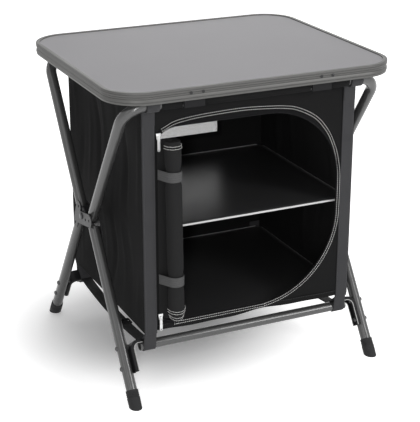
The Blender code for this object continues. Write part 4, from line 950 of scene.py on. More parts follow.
class CUPBOARD_OT_elbows(CupboardOperator):
    """Channel brackets at the crossbars' ends with their bolts"""

    bl_idname = "cupboard.elbows"
    bl_label = "Elbow brackets"

    WALL, FLANGE, START, BEND, DROP, SOFT = 0.0024, 0.0070, 0.2292, 0.0190, 0.0500, 0.0009
    BOLT_HEIGHTS, BOLT_RADIUS, BOLT_RISE = (0.0985, 0.0645), 0.0048, 0.0030
    BEND_STEPS, BEAD, BEAD_SIDES = 14, 0.0009, 10

    def build(self):
        for end in ENDS:
            spots = []
            for side in SIDES:
                self.bracket(end, side)
                for height in self.BOLT_HEIGHTS:
                    reach = (PIVOT_HEIGHT + LEG_OFFSET * SINE - height) / COSINE
                    inner = LEG_PLANE - TUBE_RADIUS - GAP - self.WALL
                    for out, facing in ((LEG_PLANE + TUBE_RADIUS, 1), (inner, -1)):
                        point = leg_point(end, False, reach, side.sign * out)
                        spots.append((point, X_AXIS * side.sign * facing))
            bolts = screws(f"elbow_bolts_{end.word}", spots, "Dark steel", self.BOLT_RADIUS, self.BOLT_RISE)
            place(bolts, end.lower, "steel")

    def bracket(self, end, side):
        down = leg_direction(end, False)
        back = LEG_PLANE - TUBE_RADIUS - GAP
        inner = BAR_RADIUS + GAP
        outer = inner + self.WALL
        base = crossbar_centre(end)
        base.x = 0
        path = [base + X_AXIS * (side.sign * self.START) - down * outer]
        bend = arc((back - self.BEND, outer - self.BEND), (self.BEND, self.BEND), math.pi / 2, 0,
                   self.BEND_STEPS)
        path += [base + X_AXIS * (side.sign * across) - down * up for across, up in bend]
        path.append(base + X_AXIS * (side.sign * back) + down * self.DROP)
        soft = self.SOFT
        half = [(outer - soft, 0), (outer, soft), (outer, self.FLANGE - soft), (outer - soft, self.FLANGE),
                (inner + soft / 2, self.FLANGE), (inner, self.FLANGE - soft / 2), (inner, self.WALL)]
        section = half + [(-a, b) for a, b in reversed(half)]
        normal = lower_leg_outward(end) * side.sign
        first = (path[1] - path[0]).normalized()
        turn = (path[-1] - path[-2]).normalized() - first
        hand = 1 if first.cross(normal).dot(turn) > 0 else -1
        corner = f"{end.word}_{side.word}"
        section = [(a, b * hand) for a, b in section]
        item = swept(f"elbow_bracket_{corner}", path, normal, section, "Black moulding")
        place(item, end.lower, "black_plastic", f"elbow_{corner}")
        # Light grey beads along both flange edges: a painted highlight on the black bracket.
        shape = bmesh.new()
        for sign in (-1, 1):
            sweep(shape, path, normal, [(sign * (outer - self.BEAD) + a, self.FLANGE * hand + b)
                                        for a, b in circle(self.BEAD, self.BEAD_SIDES)])
        place(make_object(f"elbow_edge_{corner}", shape, "Bracket edge"), end.lower, "plate")


def opening_outline(grow_by=0.0, steps=16):
    """D-shaped door line, from its upper left corner over the right side to the lower left one."""
    left, right, low, top = OPEN_LEFT - grow_by, OPEN_RIGHT + grow_by, OPEN_LOW - grow_by, OPEN_TOP + grow_by
    corners = ((left, top, SMALL_ARC, math.pi, math.pi / 2), (right, top, BIG_ARC, math.pi / 2, 0),
               (right, low, LOW_ARC, 0, -math.pi / 2), (left, low, SMALL_ARC, -math.pi / 2, -math.pi))
    points = []
    for x_edge, z_edge, (across, up), start, stop in corners:
        radii = (across + grow_by, up + grow_by)
        x_sign, z_sign = (1 if x_edge == left else -1), (1 if z_edge == low else -1)
        points += arc((x_edge + x_sign * radii[0], z_edge + z_sign * radii[1]), radii, start, stop, steps)
    return points


def vent_corners(margin=0.0):
    x, low, high = VENT_X + margin, VENT_LOW - margin, VENT_TOP + margin
    return [(x, high), (-x, high), (-x, low), (x, low)]


def reach_outline(outline, centre, angle):
    """Farthest point of an outline that a ray from the centre meets."""
    parallel, slack = 1e-12, 1e-9
    heading = (math.cos(angle), math.sin(angle))
    best = 0.0
    for (ax, ay), (bx, by) in zip(outline, outline[1:] + outline[:1]):
        edge = (bx - ax, by - ay)
        cross = heading[0] * edge[1] - heading[1] * edge[0]
        if abs(cross) < parallel:
            continue
        start = (ax - centre[0], ay - centre[1])
        distance = (start[0] * edge[1] - start[1] * edge[0]) / cross
        share = (start[0] * heading[1] - start[1] * heading[0]) / cross
        if -slack <= share <= 1 + slack and distance > best:
            best = distance
    return centre[0] + heading[0] * best, centre[1] + heading[1] * best


def hem_height(x):
    """Lower edge of the front and rear cloth: it wanders a little between the corners."""
    depth, waves = 0.004, ((0.7, 5.2, 0.6), (0.3, 13.0, 0.0))
    share = x / HALF_WIDTH
    sway = sum(size * math.sin(rate * share + phase) for size, rate, phase in waves)
    return HEM + depth * sway * (1 - share * share)


def wall_sway(x, z):
    """Depth of the soft folds in the front and rear cloth, toward the rear."""
    deepest, still_x, rates, field = 0.003, 0.1895, (9.0, 7.0), (22, 14, 3.1)
    broad_share, fine_share, least = 0.75, 0.5, 0.1
    fade = max(0.0, 1 - (x / still_x) ** 2)
    broad = 0.5 + 0.5 * math.sin(x / HALF_WIDTH * rates[0] + z / CABINET_TOP * rates[1])
    fine = noise.noise(Vector((x * field[0], z * field[1], field[2])))
    return deepest * max(0.0, min(1.0, fade * (broad_share * broad + fine_share * fine + least)))


def corner_pucker(x, z):
    """Small puckers beside the corner webbing and along the hem."""
    height, edge_x, edge_width, hem_width = 0.0006, 0.197, 0.012, 0.030
    edge_rate, hem_rate, hem_phase = 210, 260, 1.0
    edge = max(0.0, 1 - abs(abs(x) - edge_x) / edge_width)
    low = max(0.0, 1 - (z - HEM) / hem_width)
    return height * (edge * math.sin(z * edge_rate) + low * math.sin(x * hem_rate + hem_phase))


def wall_depth(end, x, z, share):
    folds = wall_sway(x, z) * math.sin(math.pi * min(1.0, share))
    folds += abs(corner_pucker(x, z)) * share * (1 - share) * 4
    return end.sign * HALF_DEPTH + folds


class CUPBOARD_OT_walls(CupboardOperator):
    """Front, rear and side cloth of the cabinet with hems and seams"""

    bl_idname = "cupboard.walls"
    bl_label = "Cabinet cloth"

    RAYS, RINGS, EDGE_STEPS, SMALL_OUTLINE = 260, 22, 56, 8
    HEM_BAND, HEM_THICK, HEM_INSET, HEM_STEPS, HEM_SWAY = 0.0120, 0.0008, 0.030, 90, 0.05
    HEM_SEAM, HEM_SEAM_LIFT = 0.84, 0.7
    SLEEVE_SPANS = ((-0.1125, 0.1125), (-0.1985, -0.1565), (0.1565, 0.1985))
    SLEEVE_LOW, SLEEVE_THICK, SLEEVE_EASE = 0.585, 0.0010, 0.0001
    SLEEVE_STOP, SLEEVE_STEPS = -0.80 * math.pi, 44
    SIDE_COLUMNS, SIDE_ROWS, SIDE_KEEP = 72, 84, 0.22
    CREASES, CREASE_START, CREASE_PITCH, CREASE_FOOT = 9, -0.17, 0.0425, 0.37
    CREASE_WANDER, CREASE_SLANT, CREASE_WIDTH, CREASE_SPREAD, CREASE_SHARE = 0.012, 0.10, 0.0085, 0.004, 0.55
    # How fast the foot, slant, width and swell of the creases change from one to the next
    FOOT_RATE, SLANT_RATE, SLANT_PHASE, WIDTH_RATE, SWELL_RATE = 2.3, 1.7, 0.6, 3.1, 1.3
    SWELL, SWELL_SHARE, SWELL_CLIMB = 0.55, 0.45, 16
    PINCH, BULGE, DRIFT, DRIFT_FIELD, EDGE_FADE, BAY_POWER = 0.0085, 0.0022, 0.0016, (16, 10, 7.7), 6, 0.7
    EDGE_INSET, EDGE_MARGIN = 0.0010, 0.004

    def build(self):
        rounding = (BIG_ARC[0] * BIG_ARC[1] + LOW_ARC[0] * LOW_ARC[1]) * (1 - math.pi / 4)
        doorway = (OPEN_RIGHT - OPEN_LEFT) * (OPEN_TOP - OPEN_LOW) - rounding
        areas = (doorway, 2 * VENT_X * (VENT_TOP - VENT_LOW))
        sheets = [self.holed(end, hole) for end, hole in zip(ENDS, (opening_outline(), vent_corners()))]
        for end, other, cloth, area in zip(ENDS, reversed(ENDS), sheets, areas):
            self.hem(end)
        for side in SIDES:
            cloth = self.side(side)
            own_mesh(cloth)
        for end in ENDS:
            self.edge_seams(end)
        for end in ENDS:
            self.sleeve(end)

    def sleeve(self, end):
        """Cloth sleeve round the top bar, left open where the clips hold the bar."""
        centre = top_bar_centre(end)
        radius = TUBE_RADIUS + GAP + self.SLEEVE_THICK / 2 + self.SLEEVE_EASE
        back = abs(centre.y) - radius
        outline = [(back + GAP, self.SLEEVE_LOW), (back + self.SLEEVE_EASE, (self.SLEEVE_LOW + centre.z) / 2)]
        outline += arc((abs(centre.y), centre.z), (radius, radius), math.pi, self.SLEEVE_STOP,
                       self.SLEEVE_STEPS)
        for index, (start, stop) in enumerate(self.SLEEVE_SPANS):
            path = [Vector(((start + stop) / 2, end.sign * y, z)) for y, z in outline]
            item = ribbon(f"bar_sleeve_{end.word}_{index + 1}", path, X_AXIS, stop - start, self.SLEEVE_THICK,
                          "Coated cloth")
            place(item, end.upper, "cloth")

    def holed(self, end, hole):
        """Rings of cloth from the hole's edge out to the wall's edge."""
        middle = (sum(p[0] for p in hole) / len(hole), sum(p[1] for p in hole) / len(hole))
        edge = [(HALF_WIDTH, CABINET_TOP), (-HALF_WIDTH, CABINET_TOP)]
        edge += [(x, hem_height(x)) for x in spread(HALF_WIDTH, self.EDGE_STEPS)]
        corners = [(x, z) for x in (HALF_WIDTH, -HALF_WIDTH) for z in (CABINET_TOP, HEM)]
        corners += hole if len(hole) <= self.SMALL_OUTLINE else []
        angles = [2 * math.pi * i / self.RAYS for i in range(self.RAYS)]
        angles += [math.atan2(z - middle[1], x - middle[0]) % (2 * math.pi) for x, z in corners]
        angles = sorted(set(angles))
        near, far = ([reach_outline(line, middle, angle) for angle in angles] for line in (hole, edge))
        rows = []
        for ring in range(self.RINGS + 1):
            share = ring / self.RINGS
            spots = [(ax + (bx - ax) * share, az + (bz - az) * share)
                     for (ax, az), (bx, bz) in zip(near, far)]
            rows.append([Vector((x, wall_depth(end, x, z, share), z)) for x, z in spots])
        item = grid_sheet(f"{end.word}_cloth", rows, "Coated cloth", CLOTH,
                          lambda r, c: (rows[r][c].x, rows[r][c].z), closed=True)
        return place(item, end.wall, "cloth", f"{end.word}_wall")

    def hem(self, end):
        """Folded hem along the lower edge, with its row of stitches."""
        path, line = [], []
        y = end.sign * (WALL_OUT + self.HEM_THICK / 2)
        for x in spread(HALF_WIDTH - self.HEM_INSET, self.HEM_STEPS):
            z = hem_height(x)
            depth = y + wall_sway(x, z) * self.HEM_SWAY
            path.append(Vector((x, depth, z + self.HEM_BAND / 2)))
            line += upright_line(end, depth + end.sign * self.HEM_THICK * self.HEM_SEAM_LIFT,
                                [(x, z + self.HEM_BAND * self.HEM_SEAM)])
        item = flat_band(f"{end.word}_hem", path, Y_AXIS, self.HEM_BAND, self.HEM_THICK, "Coated cloth")
        place(item, end.wall, "cloth")
        sew(f"{end.word}_hem_thread", [line], "Dark thread", end.wall, "cloth")
        return item

    def side(self, side):
        reach = WALL_IN - GAP
        rows = []
        for r in range(self.SIDE_ROWS + 1):
            z = HEM + (CABINET_TOP - HEM) * r / self.SIDE_ROWS
            row = []
            for y in spread(reach, self.SIDE_COLUMNS):
                out = HALF_WIDTH - CLOTH / 2 - self.inward(y, z, reach, side.sign)
                row.append(Vector((side.sign * out, y, z)))
            rows.append(row)
        item = grid_sheet(f"side_cloth_{side.word}", rows, "Coated cloth", CLOTH,
                          lambda r, c: (rows[r][c].y, rows[r][c].z), inward=-X_AXIS * side.sign)
        return place(item, "rear_side", "cloth", f"side_wall_{side.word}")

    def inward(self, y, z, reach, sign):
        """Pinch between the boards, with creases that run down and toward the boards' corners."""
        tall = 0.0
        if z > SHELF_TOP:
            tall = (z - SHELF_TOP) / (CABINET_TOP - SHELF_TOP)
        elif z < SHELF_TOP - BOARD:
            tall = max(0.0, (z - BASE_TOP) / (SHELF_TOP - BOARD - BASE_TOP))
        loose = math.sin(math.pi * tall) ** self.BAY_POWER if 0 < tall < 1 else 0.0
        across = 1 - (y / reach) ** 2
        depth = self.PINCH * math.sin(math.pi * tall) ** 2 * across
        ease = settings().ease
        for index in range(self.CREASES):
            foot = self.CREASE_START + self.CREASE_PITCH * index
            foot += self.CREASE_WANDER * math.sin(index * self.FOOT_RATE + sign)
            slant = self.CREASE_SLANT * math.sin(index * self.SLANT_RATE + self.SLANT_PHASE * sign)
            offset = y - foot - slant * (z - self.CREASE_FOOT)
            width = self.CREASE_WIDTH + self.CREASE_SPREAD * math.sin(index * self.WIDTH_RATE)
            ridge = math.exp(-(offset / width) ** 2)
            swell = self.SWELL + self.SWELL_SHARE * math.sin(index * self.SWELL_RATE + z * self.SWELL_CLIMB)
            outward = 1 if index % 2 else -self.CREASE_SHARE
            depth += ease * self.CREASE_SHARE * ridge * swell * loose * outward
        across_field, down_field, seed = self.DRIFT_FIELD
        drift = noise.noise(Vector((y * across_field, z * down_field, seed * sign)))
        depth += self.DRIFT * drift * loose
        return max(-self.BULGE, depth) * min(1.0, across * self.EDGE_FADE)

    def edge_seams(self, end):
        """Dark stitches where the walls meet."""
        face = end.sign * (WALL_OUT + THREAD_RISE)
        heights = (HEM + self.EDGE_MARGIN, CABINET_TOP - self.EDGE_MARGIN)
        lines = [upright_line(end, face, [(side.sign * (HALF_WIDTH - self.EDGE_INSET), z) for z in heights])
                 for side in SIDES]
        sew(f"{end.word}_edge_thread", lines, "Dark thread", end.wall, "cloth")


class CUPBOARD_OT_vent(CupboardOperator):
    """Netting of the rear window with its binding"""

    bl_idname = "cupboard.vent"
    bl_label = "Vent net"

    STRAND, BORDER, BORDER_THICK, OVERLAP, FIRST = 0.00036, 0.010, 0.0010, 0.004, 0.3
    NET_BACK, BINDING_BACK = 0.0005, 0.0016

    def build(self):
        pitch = settings().net_pitch
        y = WALL_IN - GAP - self.NET_BACK
        (right, top), _, (left, low), _ = vent_corners(self.OVERLAP)
        lines = []
        for i in range(int(2 * VENT_X / pitch) + 1):
            x = -VENT_X + pitch * (i + self.FIRST)
            lines.append(upright_line(REAR, y, [(x, low), (x, top)]))
        for i in range(int((VENT_TOP - VENT_LOW) / pitch) + 1):
            z = VENT_LOW + pitch * (i + self.FIRST)
            lines.append(upright_line(REAR, y + self.STRAND, [(left, z), (right, z)]))
        net = grow("vent_netting", lines, "Vent net", "Net strands", Strand=self.STRAND)
        place(net, "rear_side", "lining", "vent_net")
        half = self.BORDER / 2
        path = [Vector((x, WALL_IN - self.BINDING_BACK, z)) for x, z in vent_corners(half)]
        a = self.BORDER_THICK / 2
        section = [(-a, -half), (-a, half), (a, half), (a, -half)]
        item = swept("vent_binding", path, Y_AXIS, section, "Zip tape", closed=True)
        place(item, "rear_side", "lining")


class CUPBOARD_OT_boards(CupboardOperator):
    """Cloth-covered shelf and base boards, with the white edging"""

    bl_idname = "cupboard.boards"
    bl_label = "Shelf and base"

    # Name, CAD node, height of the top, gap behind the front webbing and body
    BOARDS = (("covered_shelf", "shelf_board", SHELF_TOP, 0.009, "shelf"),
              ("covered_base", "base_board", BASE_TOP, 0.006, "base"))
    CORNER, ROUND, ROUND_STEPS, SEAM_INSET = 0.012, 0.0022, 8, 0.006
    TAPE_THICK, TAPE_RISE = 0.0008, 0.0006
    REAR_TAPE, REAR_INSET, SIDE_TAPE, SIDE_INSET = 0.0028, 0.0016, 0.0022, 0.0014
    TRIM_REACH, TRIM_HALF, TRIM_BULGE, TRIM_GAP = 0.2165, 0.0020, 0.0014, 0.0001

    def build(self):
        for name, node, top, gap, body in self.BOARDS:
            self.board(name, node, top, -BOARD_BACK + gap, body)
        self.trim(-BOARD_BACK + self.BOARDS[0][3])

    def trim(self, front):
        """Slim white bead along the shelf's front edge."""
        half = self.TRIM_REACH
        section = arc((self.TRIM_GAP, 0), (self.TRIM_BULGE, self.TRIM_HALF), -math.pi / 2, math.pi / 2, 10)
        path = [Vector((x, front, SHELF_TOP - BOARD / 2)) for x in (-half, -half / 2, 0, half / 2, half)]
        item = swept("shelf_edging", path, -Y_AXIS, section, "White edging")
        place(item, "shelf", "white_trim", "shelf_trim")

    def board(self, name, node, top, front, body):
        half = HALF_WIDTH - CLOTH - GAP
        depth, middle = (BOARD_BACK - front) / 2, (BOARD_BACK + front) / 2
        shape = bmesh.new()
        layer = shape.loops.layers.uv.new("UVMap")
        rings = []
        for turn in range(self.ROUND_STEPS + 1):
            angle = math.pi * (turn / self.ROUND_STEPS - 0.5)
            inset = self.ROUND * (1 - math.cos(angle))
            half_flat = (BOARD / 2 - self.ROUND) * (1 if angle > 0 else -1 if angle < 0 else 0)
            z = top - BOARD / 2 + half_flat + self.ROUND * math.sin(angle)
            outline = rounded_rectangle(half - inset, depth - inset, self.CORNER - inset, 10)
            rings.append([shape.verts.new((x, y + middle, z)) for x, y in outline])
        skin(shape, rings)
        for face in shape.faces:
            for loop in face.loops:
                spot = loop.vert.co
                loop[layer].uv = (spot.x, spot.y + (spot.z - top))
        place(make_object(name, shape, "Board covering", 40.0), body, "lining", node)
        seam = rounded_rectangle(half - self.SEAM_INSET, depth - self.SEAM_INSET, self.CORNER, 8)
        line = [(Vector((x, y + middle, top + THREAD_RISE)), Z_AXIS) for x, y in seam + seam[:1]]
        sew(f"{name}_thread", [line], "Dark thread", body, "lining")
        height = top + self.TAPE_RISE
        edge = [Vector((sign * (half - self.CORNER), BOARD_BACK - self.REAR_INSET, height))
                for sign in (-1, 1)]
        tape = ribbon(f"{name}_rear_edge", edge, Y_AXIS, self.REAR_TAPE, self.TAPE_THICK, "Pale edge tape")
        place(tape, body, "lining")
        for side in SIDES:
            x = side.sign * (half - self.SIDE_INSET)
            edge = [Vector((x, y, height)) for y in (front + self.CORNER, BOARD_BACK - self.CORNER)]
            place(ribbon(f"{name}_{side.word}_edge", edge, X_AXIS, self.SIDE_TAPE, self.TAPE_THICK,
                         "Grey edge tape"), body, "lining")


def tangent_angle(centre, radius, point, hand):
    offset = (point[0] - centre[0], point[1] - centre[1])
    return math.atan2(offset[1], offset[0]) + hand * math.acos(radius / math.hypot(*offset))


LOOP_STEPS = 28


def looped_path(end, x, centre, radius, outer, inner, over):
    """Down one side of a bar, round it and up the other side; over the bar it runs the other way."""
    middle = (abs(centre.y), centre.z)
    start = tangent_angle(middle, radius, outer[-1], -1 if over else 1)
    stop = tangent_angle(middle, radius, inner[0], 1 if over else -1)
    turn = (start - stop) % (2 * math.pi) if over else -((stop - start) % (2 * math.pi))
    points = outer + arc(middle, (radius, radius), start, start - turn, LOOP_STEPS) + inner
    return [Vector((x, end.sign * y, z)) for y, z in points]


class CUPBOARD_OT_webbing(CupboardOperator):
    """Corner webbing, top loops and bottom straps with their stitching"""

    bl_idname = "cupboard.webbing"
    bl_label = "Webbing and straps"

    OUTSIDE, INSIDE = WALL_OUT + GAP + WEB_THICK / 2, WALL_IN - GAP - WEB_THICK / 2
    WEB_TOP, WEB_LOW, TAIL, WEB_STEP, WEB_STEPS = 0.585, HEM - 0.004, 0.025, 0.01, 45
    LOOP_LOW, LOOP_EASE, LOOP_WIDTH = 0.556, 0.0017, 0.026
    TACKS = {"left": (0.355, 0.410, 0.425), "right": (0.355, 0.476, 0.542)}
    TACK_ROWS, TACK_PITCH, TACK_HALF, TACK_STITCH = 4, 0.0035, 0.0085, (0.0022, 0.0028, 0.0009)
    EDGE_SEAM, BOX_HALF, BOX_LOW, BOX_HIGH = 0.0105, 0.0095, 0.026, 0.004
    STRAP_WIDTH, STRAP_THICK, SAG, STRAP_STEPS, STRAP_KEEP = 0.024, 0.0016, 0.011, 40, 0.09
    BUCKLE_Y, BUCKLE_LENGTH, BUCKLE_HALF, BUCKLE_CORNER = -0.050, 0.022, 0.0150, 0.003
    WIRE, WIRE_STRETCH, RUNG_Y, RUNG_WIRE = 0.0016, 1.25, 0.0045, 0.0013
    RUNG = ((-0.0148, 0), (-0.0125, 0.0012), (0.0125, 0.0012), (0.0148, 0))

    def build(self):
        for end in ENDS:
            tacks, edges, tops = [], [], []
            face = end.sign * (self.OUTSIDE + WEB_THICK / 2 + THREAD_RISE)
            for side in SIDES:
                x = side.sign * WEB_X
                self.web(end, side)
                for height in self.TACKS[side.word]:
                    for row in range(self.TACK_ROWS):
                        z = height + self.TACK_PITCH * (row - (self.TACK_ROWS - 1) / 2)
                        tack = [(x - self.TACK_HALF, z), (x + self.TACK_HALF, z)]
                        tacks.append(upright_line(end, face, tack))
                for shift in (-self.EDGE_SEAM, self.EDGE_SEAM):
                    edges.append(upright_line(end, face, [(x + shift, self.WEB_TOP - self.BOX_HIGH),
                                                         (x + shift, self.WEB_LOW)]))
                tops += self.box(end, x, face)
                self.top_loop(end, side)
            sew(f"{end.word}_tack_thread", tacks, "Grey thread", end.wall, "webbing", self.TACK_STITCH)
            sew(f"{end.word}_web_thread", edges + tops, "Webbing thread", end.wall, "webbing")
        for side in SIDES:
            self.strap(side)

    def web(self, end, side):
        outer = [(self.OUTSIDE, self.WEB_TOP - self.WEB_STEP * i) for i in range(self.WEB_STEPS)]
        path = looped_path(end, side.sign * WEB_X, crossbar_centre(end), BAR_RADIUS + GAP + WEB_THICK / 2,
                           outer + [(self.OUTSIDE, self.WEB_LOW)],
                           [(self.INSIDE, self.WEB_LOW), (self.INSIDE, self.WEB_LOW + self.TAIL)], over=False)
        item = ribbon(f"web_{end.word}_{side.word}", path, X_AXIS, WEB_WIDTH, WEB_THICK, "Corner webbing")
        place(item, end.wall, "webbing", f"webbing_{end.word}_{side.word}")

    def box(self, end, x, face):
        """Box and cross of stitches."""
        left, right = x - self.BOX_HALF, x + self.BOX_HALF
        low, high = self.WEB_TOP - self.BOX_LOW, self.WEB_TOP - self.BOX_HIGH
        corners = [(left, low), (right, low), (right, high), (left, high), (left, low), (right, high)]
        return [upright_line(end, face, corners), upright_line(end, face, [(left, high), (right, low)])]

    def top_loop(self, end, side):
        outside = WALL_OUT + 2 * GAP + WEB_THICK * 3 / 2
        over = CABINET_TOP + 4 * WEB_THICK
        radius = TUBE_RADIUS + self.LOOP_EASE + WEB_THICK / 2
        path = looped_path(end, side.sign * WEB_X, top_bar_centre(end), radius,
                           [(outside, self.LOOP_LOW), (outside, self.LOOP_LOW + self.TAIL)],
                           [(self.INSIDE, over), (self.INSIDE, over - self.TAIL)], over=True)
        corner = f"{end.word}_{side.word}"
        item = ribbon(f"bar_loop_{corner}", path, X_AXIS, self.LOOP_WIDTH, WEB_THICK, "Corner webbing")
        place(item, end.upper, "webbing", f"top_loop_{corner}")

    def strap(self, side):
        """Strap that sags between the crossbars, with its ladder buckle."""
        centre = crossbar_centre(REAR)
        half = centre.y - (BAR_RADIUS + GAP + WEB_THICK) - GAP

        def sagging(y):
            return Vector((side.sign * WEB_X, y, centre.z - self.SAG * (1 - (y / half) ** 2)))

        path = [sagging(y) for y in spread(half, self.STRAP_STEPS)]
        item = ribbon(f"tie_strap_{side.word}", path, X_AXIS, self.STRAP_WIDTH, self.STRAP_THICK,
                      "Black strap")
        place(item, "rear_side", "strap", f"bottom_strap_{side.word}")
        self.shorten(item, half)
        spot = sagging(self.BUCKLE_Y)
        shape = bmesh.new()
        frame_line = rounded_rectangle(self.BUCKLE_HALF, self.BUCKLE_LENGTH / 2, self.BUCKLE_CORNER, 5)
        wire = [(a * self.WIRE_STRETCH, b) for a, b in circle(self.WIRE, 10)]
        sweep(shape, [spot + Vector((a, b, 0)) for a, b in frame_line], Z_AXIS, wire, closed=True)
        for y in (-self.RUNG_Y, self.RUNG_Y):
            rung = [spot + Vector((a, y, rise)) for a, rise in self.RUNG]
            sweep(shape, rung, Z_AXIS, circle(self.RUNG_WIRE, 8))
        item = make_object(f"ladder_buckle_{side.word}", shape, "Black moulding")
        self.shorten(place(item, "rear_side", "strap"), half)

    def shorten(self, item, half):
        """Gives the strap or buckle a mesh of its own."""
        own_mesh(item)


class CUPBOARD_OT_door(CupboardOperator):
    """Rolled-up door with its elastic bands and gathered ends"""

    bl_idname = "cupboard.door"
    bl_label = "Rolled door"

    FLAT_SIZE = (0.312, 0.370)
    CORE, CLOTH_ROLL, TURNS, PER_TURN, STEPS, LOWEST = 0.0040, 0.0015, 4.5, 40, 130, 0.158
    FLAP, FLAP_START, SHEET_SHARE, RUN_ROW = 0.006, 0.012, 0.75, 40
    PINCH, BAND_REACH, TIP_REACH, TIP_SHARE = 0.0022, 0.010, 0.012, 0.8
    GATHER_REACH, GATHER, GATHER_POWER = 0.012, 0.42, 1.6
    WRINKLE_START, WRINKLE_RISE, WRINKLE, WRINKLE_BIAS, FINE_SHARE = 0.82, 12, 0.0006, 0.6, 0.6
    # Wrinkles per unit round and up the roll, of the broad and the fine ones
    WRINKLE_FIELDS = (1.6, 17), (5, 60)
    BAND_HEIGHT, BAND_THICK, BAND_STOP, BAND_STEPS = 0.0200, 0.0011, 2 * math.pi + math.pi / 3, 40
    # Height and tilt of each seam round the roll
    SEAMS = ((0.5205, 0.0), (0.5155, 0.0), (0.1860, 0.003), (0.1805, 0.003), (0.1730, 0.005), (0.1680, 0.006))
    SEAM_START, SEAM_SPAN, SEAM_STEPS, SEAM_STITCH = 1.02, 0.96, 32, (0.0027, 0.0030, 0.0012)
    SEAM_RISE, SEAM_WAVE, SEAM_RATE = 0.0003, 0.0002, 0.9

    def build(self):
        self.roll()
        for word, height in zip(("upper", "lower"), BANDS):
            self.elastic(word, height)
        self.threads()

    def axis(self, z):
        share = (ROLL_TOP - z) / (ROLL_TOP - ROLL_LOW)
        return ROLL_X + ROLL_SHIFT * share, -WALL_OUT - GAP - ROLL_RADIUS

    def girth(self, z):
        """Share of the full girth at a height: tight under the bands and drawn in at the ends."""
        tight = self.PINCH / ROLL_RADIUS
        share = 1.0
        for centre in BANDS:
            away = max(0.0, abs(z - centre) - self.BAND_HEIGHT / 2)
            share -= tight * math.exp(-(away / self.BAND_REACH) ** 2)
        share -= tight * self.TIP_SHARE * math.exp(-((ROLL_TOP - z) / self.TIP_REACH) ** 2)
        gathered = ROLL_LOW + self.GATHER_REACH
        if z < gathered:
            share -= self.GATHER * ((gathered - z) / (gathered - self.LOWEST)) ** self.GATHER_POWER
        return share

    def wrinkles(self, share, angle, z):
        """Small creases of the outermost turn."""
        broad, fine = (noise.noise(Vector((math.cos(angle) * around, math.sin(angle) * around, z * up)))
                       for around, up in self.WRINKLE_FIELDS)
        height = self.WRINKLE * (broad + self.FINE_SHARE * fine - self.WRINKLE_BIAS)
        return height * min(1.0, (share - self.WRINKLE_START) * self.WRINKLE_RISE)

    def roll(self):
        count = int(self.TURNS * self.PER_TURN)
        outside = ROLL_RADIUS - self.CLOTH_ROLL / 2
        rows = []
        for step in range(self.STEPS + 1):
            z = self.LOWEST + (ROLL_TOP - self.LOWEST) * step / self.STEPS
            x, y = self.axis(z)
            girth = self.girth(z)
            row = []
            for index in range(count + 1):
                share = index / count
                angle = math.pi / 2 - 2 * math.pi * self.TURNS * (1 - share)
                radius = (self.CORE + (outside - self.CORE) * share) * girth
                if share > self.WRINKLE_START:
                    radius += self.wrinkles(share, angle, z)
                row.append(Vector((x + radius * math.cos(angle), y + radius * math.sin(angle), z)))
            wall_y = y + ROLL_RADIUS - self.CLOTH_ROLL / 2
            flap = Vector((OPEN_LEFT - self.FLAP, wall_y, z))
            knee = Vector((x - self.FLAP_START, wall_y, z))
            rows.append(row + [row[-1].lerp(knee, 0.5), knee, knee.lerp(flap, 0.5), flap])
        lengths = [0.0]
        for first, second in zip(rows[self.RUN_ROW], rows[self.RUN_ROW][1:]):
            lengths.append(lengths[-1] + (second - first).length)
        # The roll's finish is a painted lighter copy of the wall cloth.
        item = grid_sheet("door_roll", rows, "Rolled cloth", self.CLOTH_ROLL * self.SHEET_SHARE,
                          lambda r, c: (lengths[c], rows[r][c].z))
        return place(item, "front_side", "cloth", "rolled_door")

    def elastic(self, word, height):
        centre = self.axis(height)
        radius = ROLL_RADIUS - self.PINCH + GAP + self.BAND_THICK / 2
        sewn = OPEN_LEFT - self.FLAP
        before = (sewn, -WALL_OUT - 2 * GAP - self.CLOTH_ROLL - self.BAND_THICK / 2)
        behind = -WALL_IN + GAP + self.BAND_THICK / 2
        start = tangent_angle(centre, radius, before, 1)
        turn = arc(centre, (radius, radius), start % (2 * math.pi), self.BAND_STOP, self.BAND_STEPS)
        outline = [before] + turn
        outline += [(centre[0] - ROLL_RADIUS / 3, behind), (sewn, behind)]
        path = [Vector((a, b, height)) for a, b in outline]
        item = ribbon(f"elastic_{word}", path, Z_AXIS, self.BAND_HEIGHT, self.BAND_THICK, "Elastic")
        place(item, "front_side", "elastic", f"elastic_band_{word}")

    def threads(self):
        """Light seams that go round the roll at its ends, drawn askew by the gathers."""
        lines = []
        for z, tilt in self.SEAMS:
            line = []
            for i in range(self.SEAM_STEPS + 1):
                angle = math.pi * (self.SEAM_START + self.SEAM_SPAN * i / self.SEAM_STEPS)
                height = z - tilt * math.sin(math.pi * i / self.SEAM_STEPS)
                height += self.SEAM_WAVE * math.sin(i * self.SEAM_RATE)
                radius = ROLL_RADIUS * self.girth(height) + self.SEAM_RISE
                out = Vector((math.cos(angle), math.sin(angle), 0))
                line.append((Vector((*self.axis(height), height)) + out * radius, out))
            lines.append(line)
        sew("roll_thread", lines, "Light thread", "front_side", "cloth", self.SEAM_STITCH)


def off_segment(point, first, second):
    along = second - first
    share = (point - first).dot(along) / max(along.length_squared, 1e-12)
    return (point - first - along * max(0.0, min(1.0, share))).length


def smooth_line(points, steps):
    """Curve through every point."""
    ends = [points[0] * 2 - points[1]] + points + [points[-1] * 2 - points[-2]]
    line = []
    for a, b, c, d in zip(ends, ends[1:], ends[2:], ends[3:]):
        for i in range(steps):
            t = i / steps
            line.append((b * 2 + (c - a) * t + (a * 2 - b * 5 + c * 4 - d) * t * t
                         + (b * 3 - a - c * 3 + d) * t ** 3) / 2)
    return line + [points[-1]]


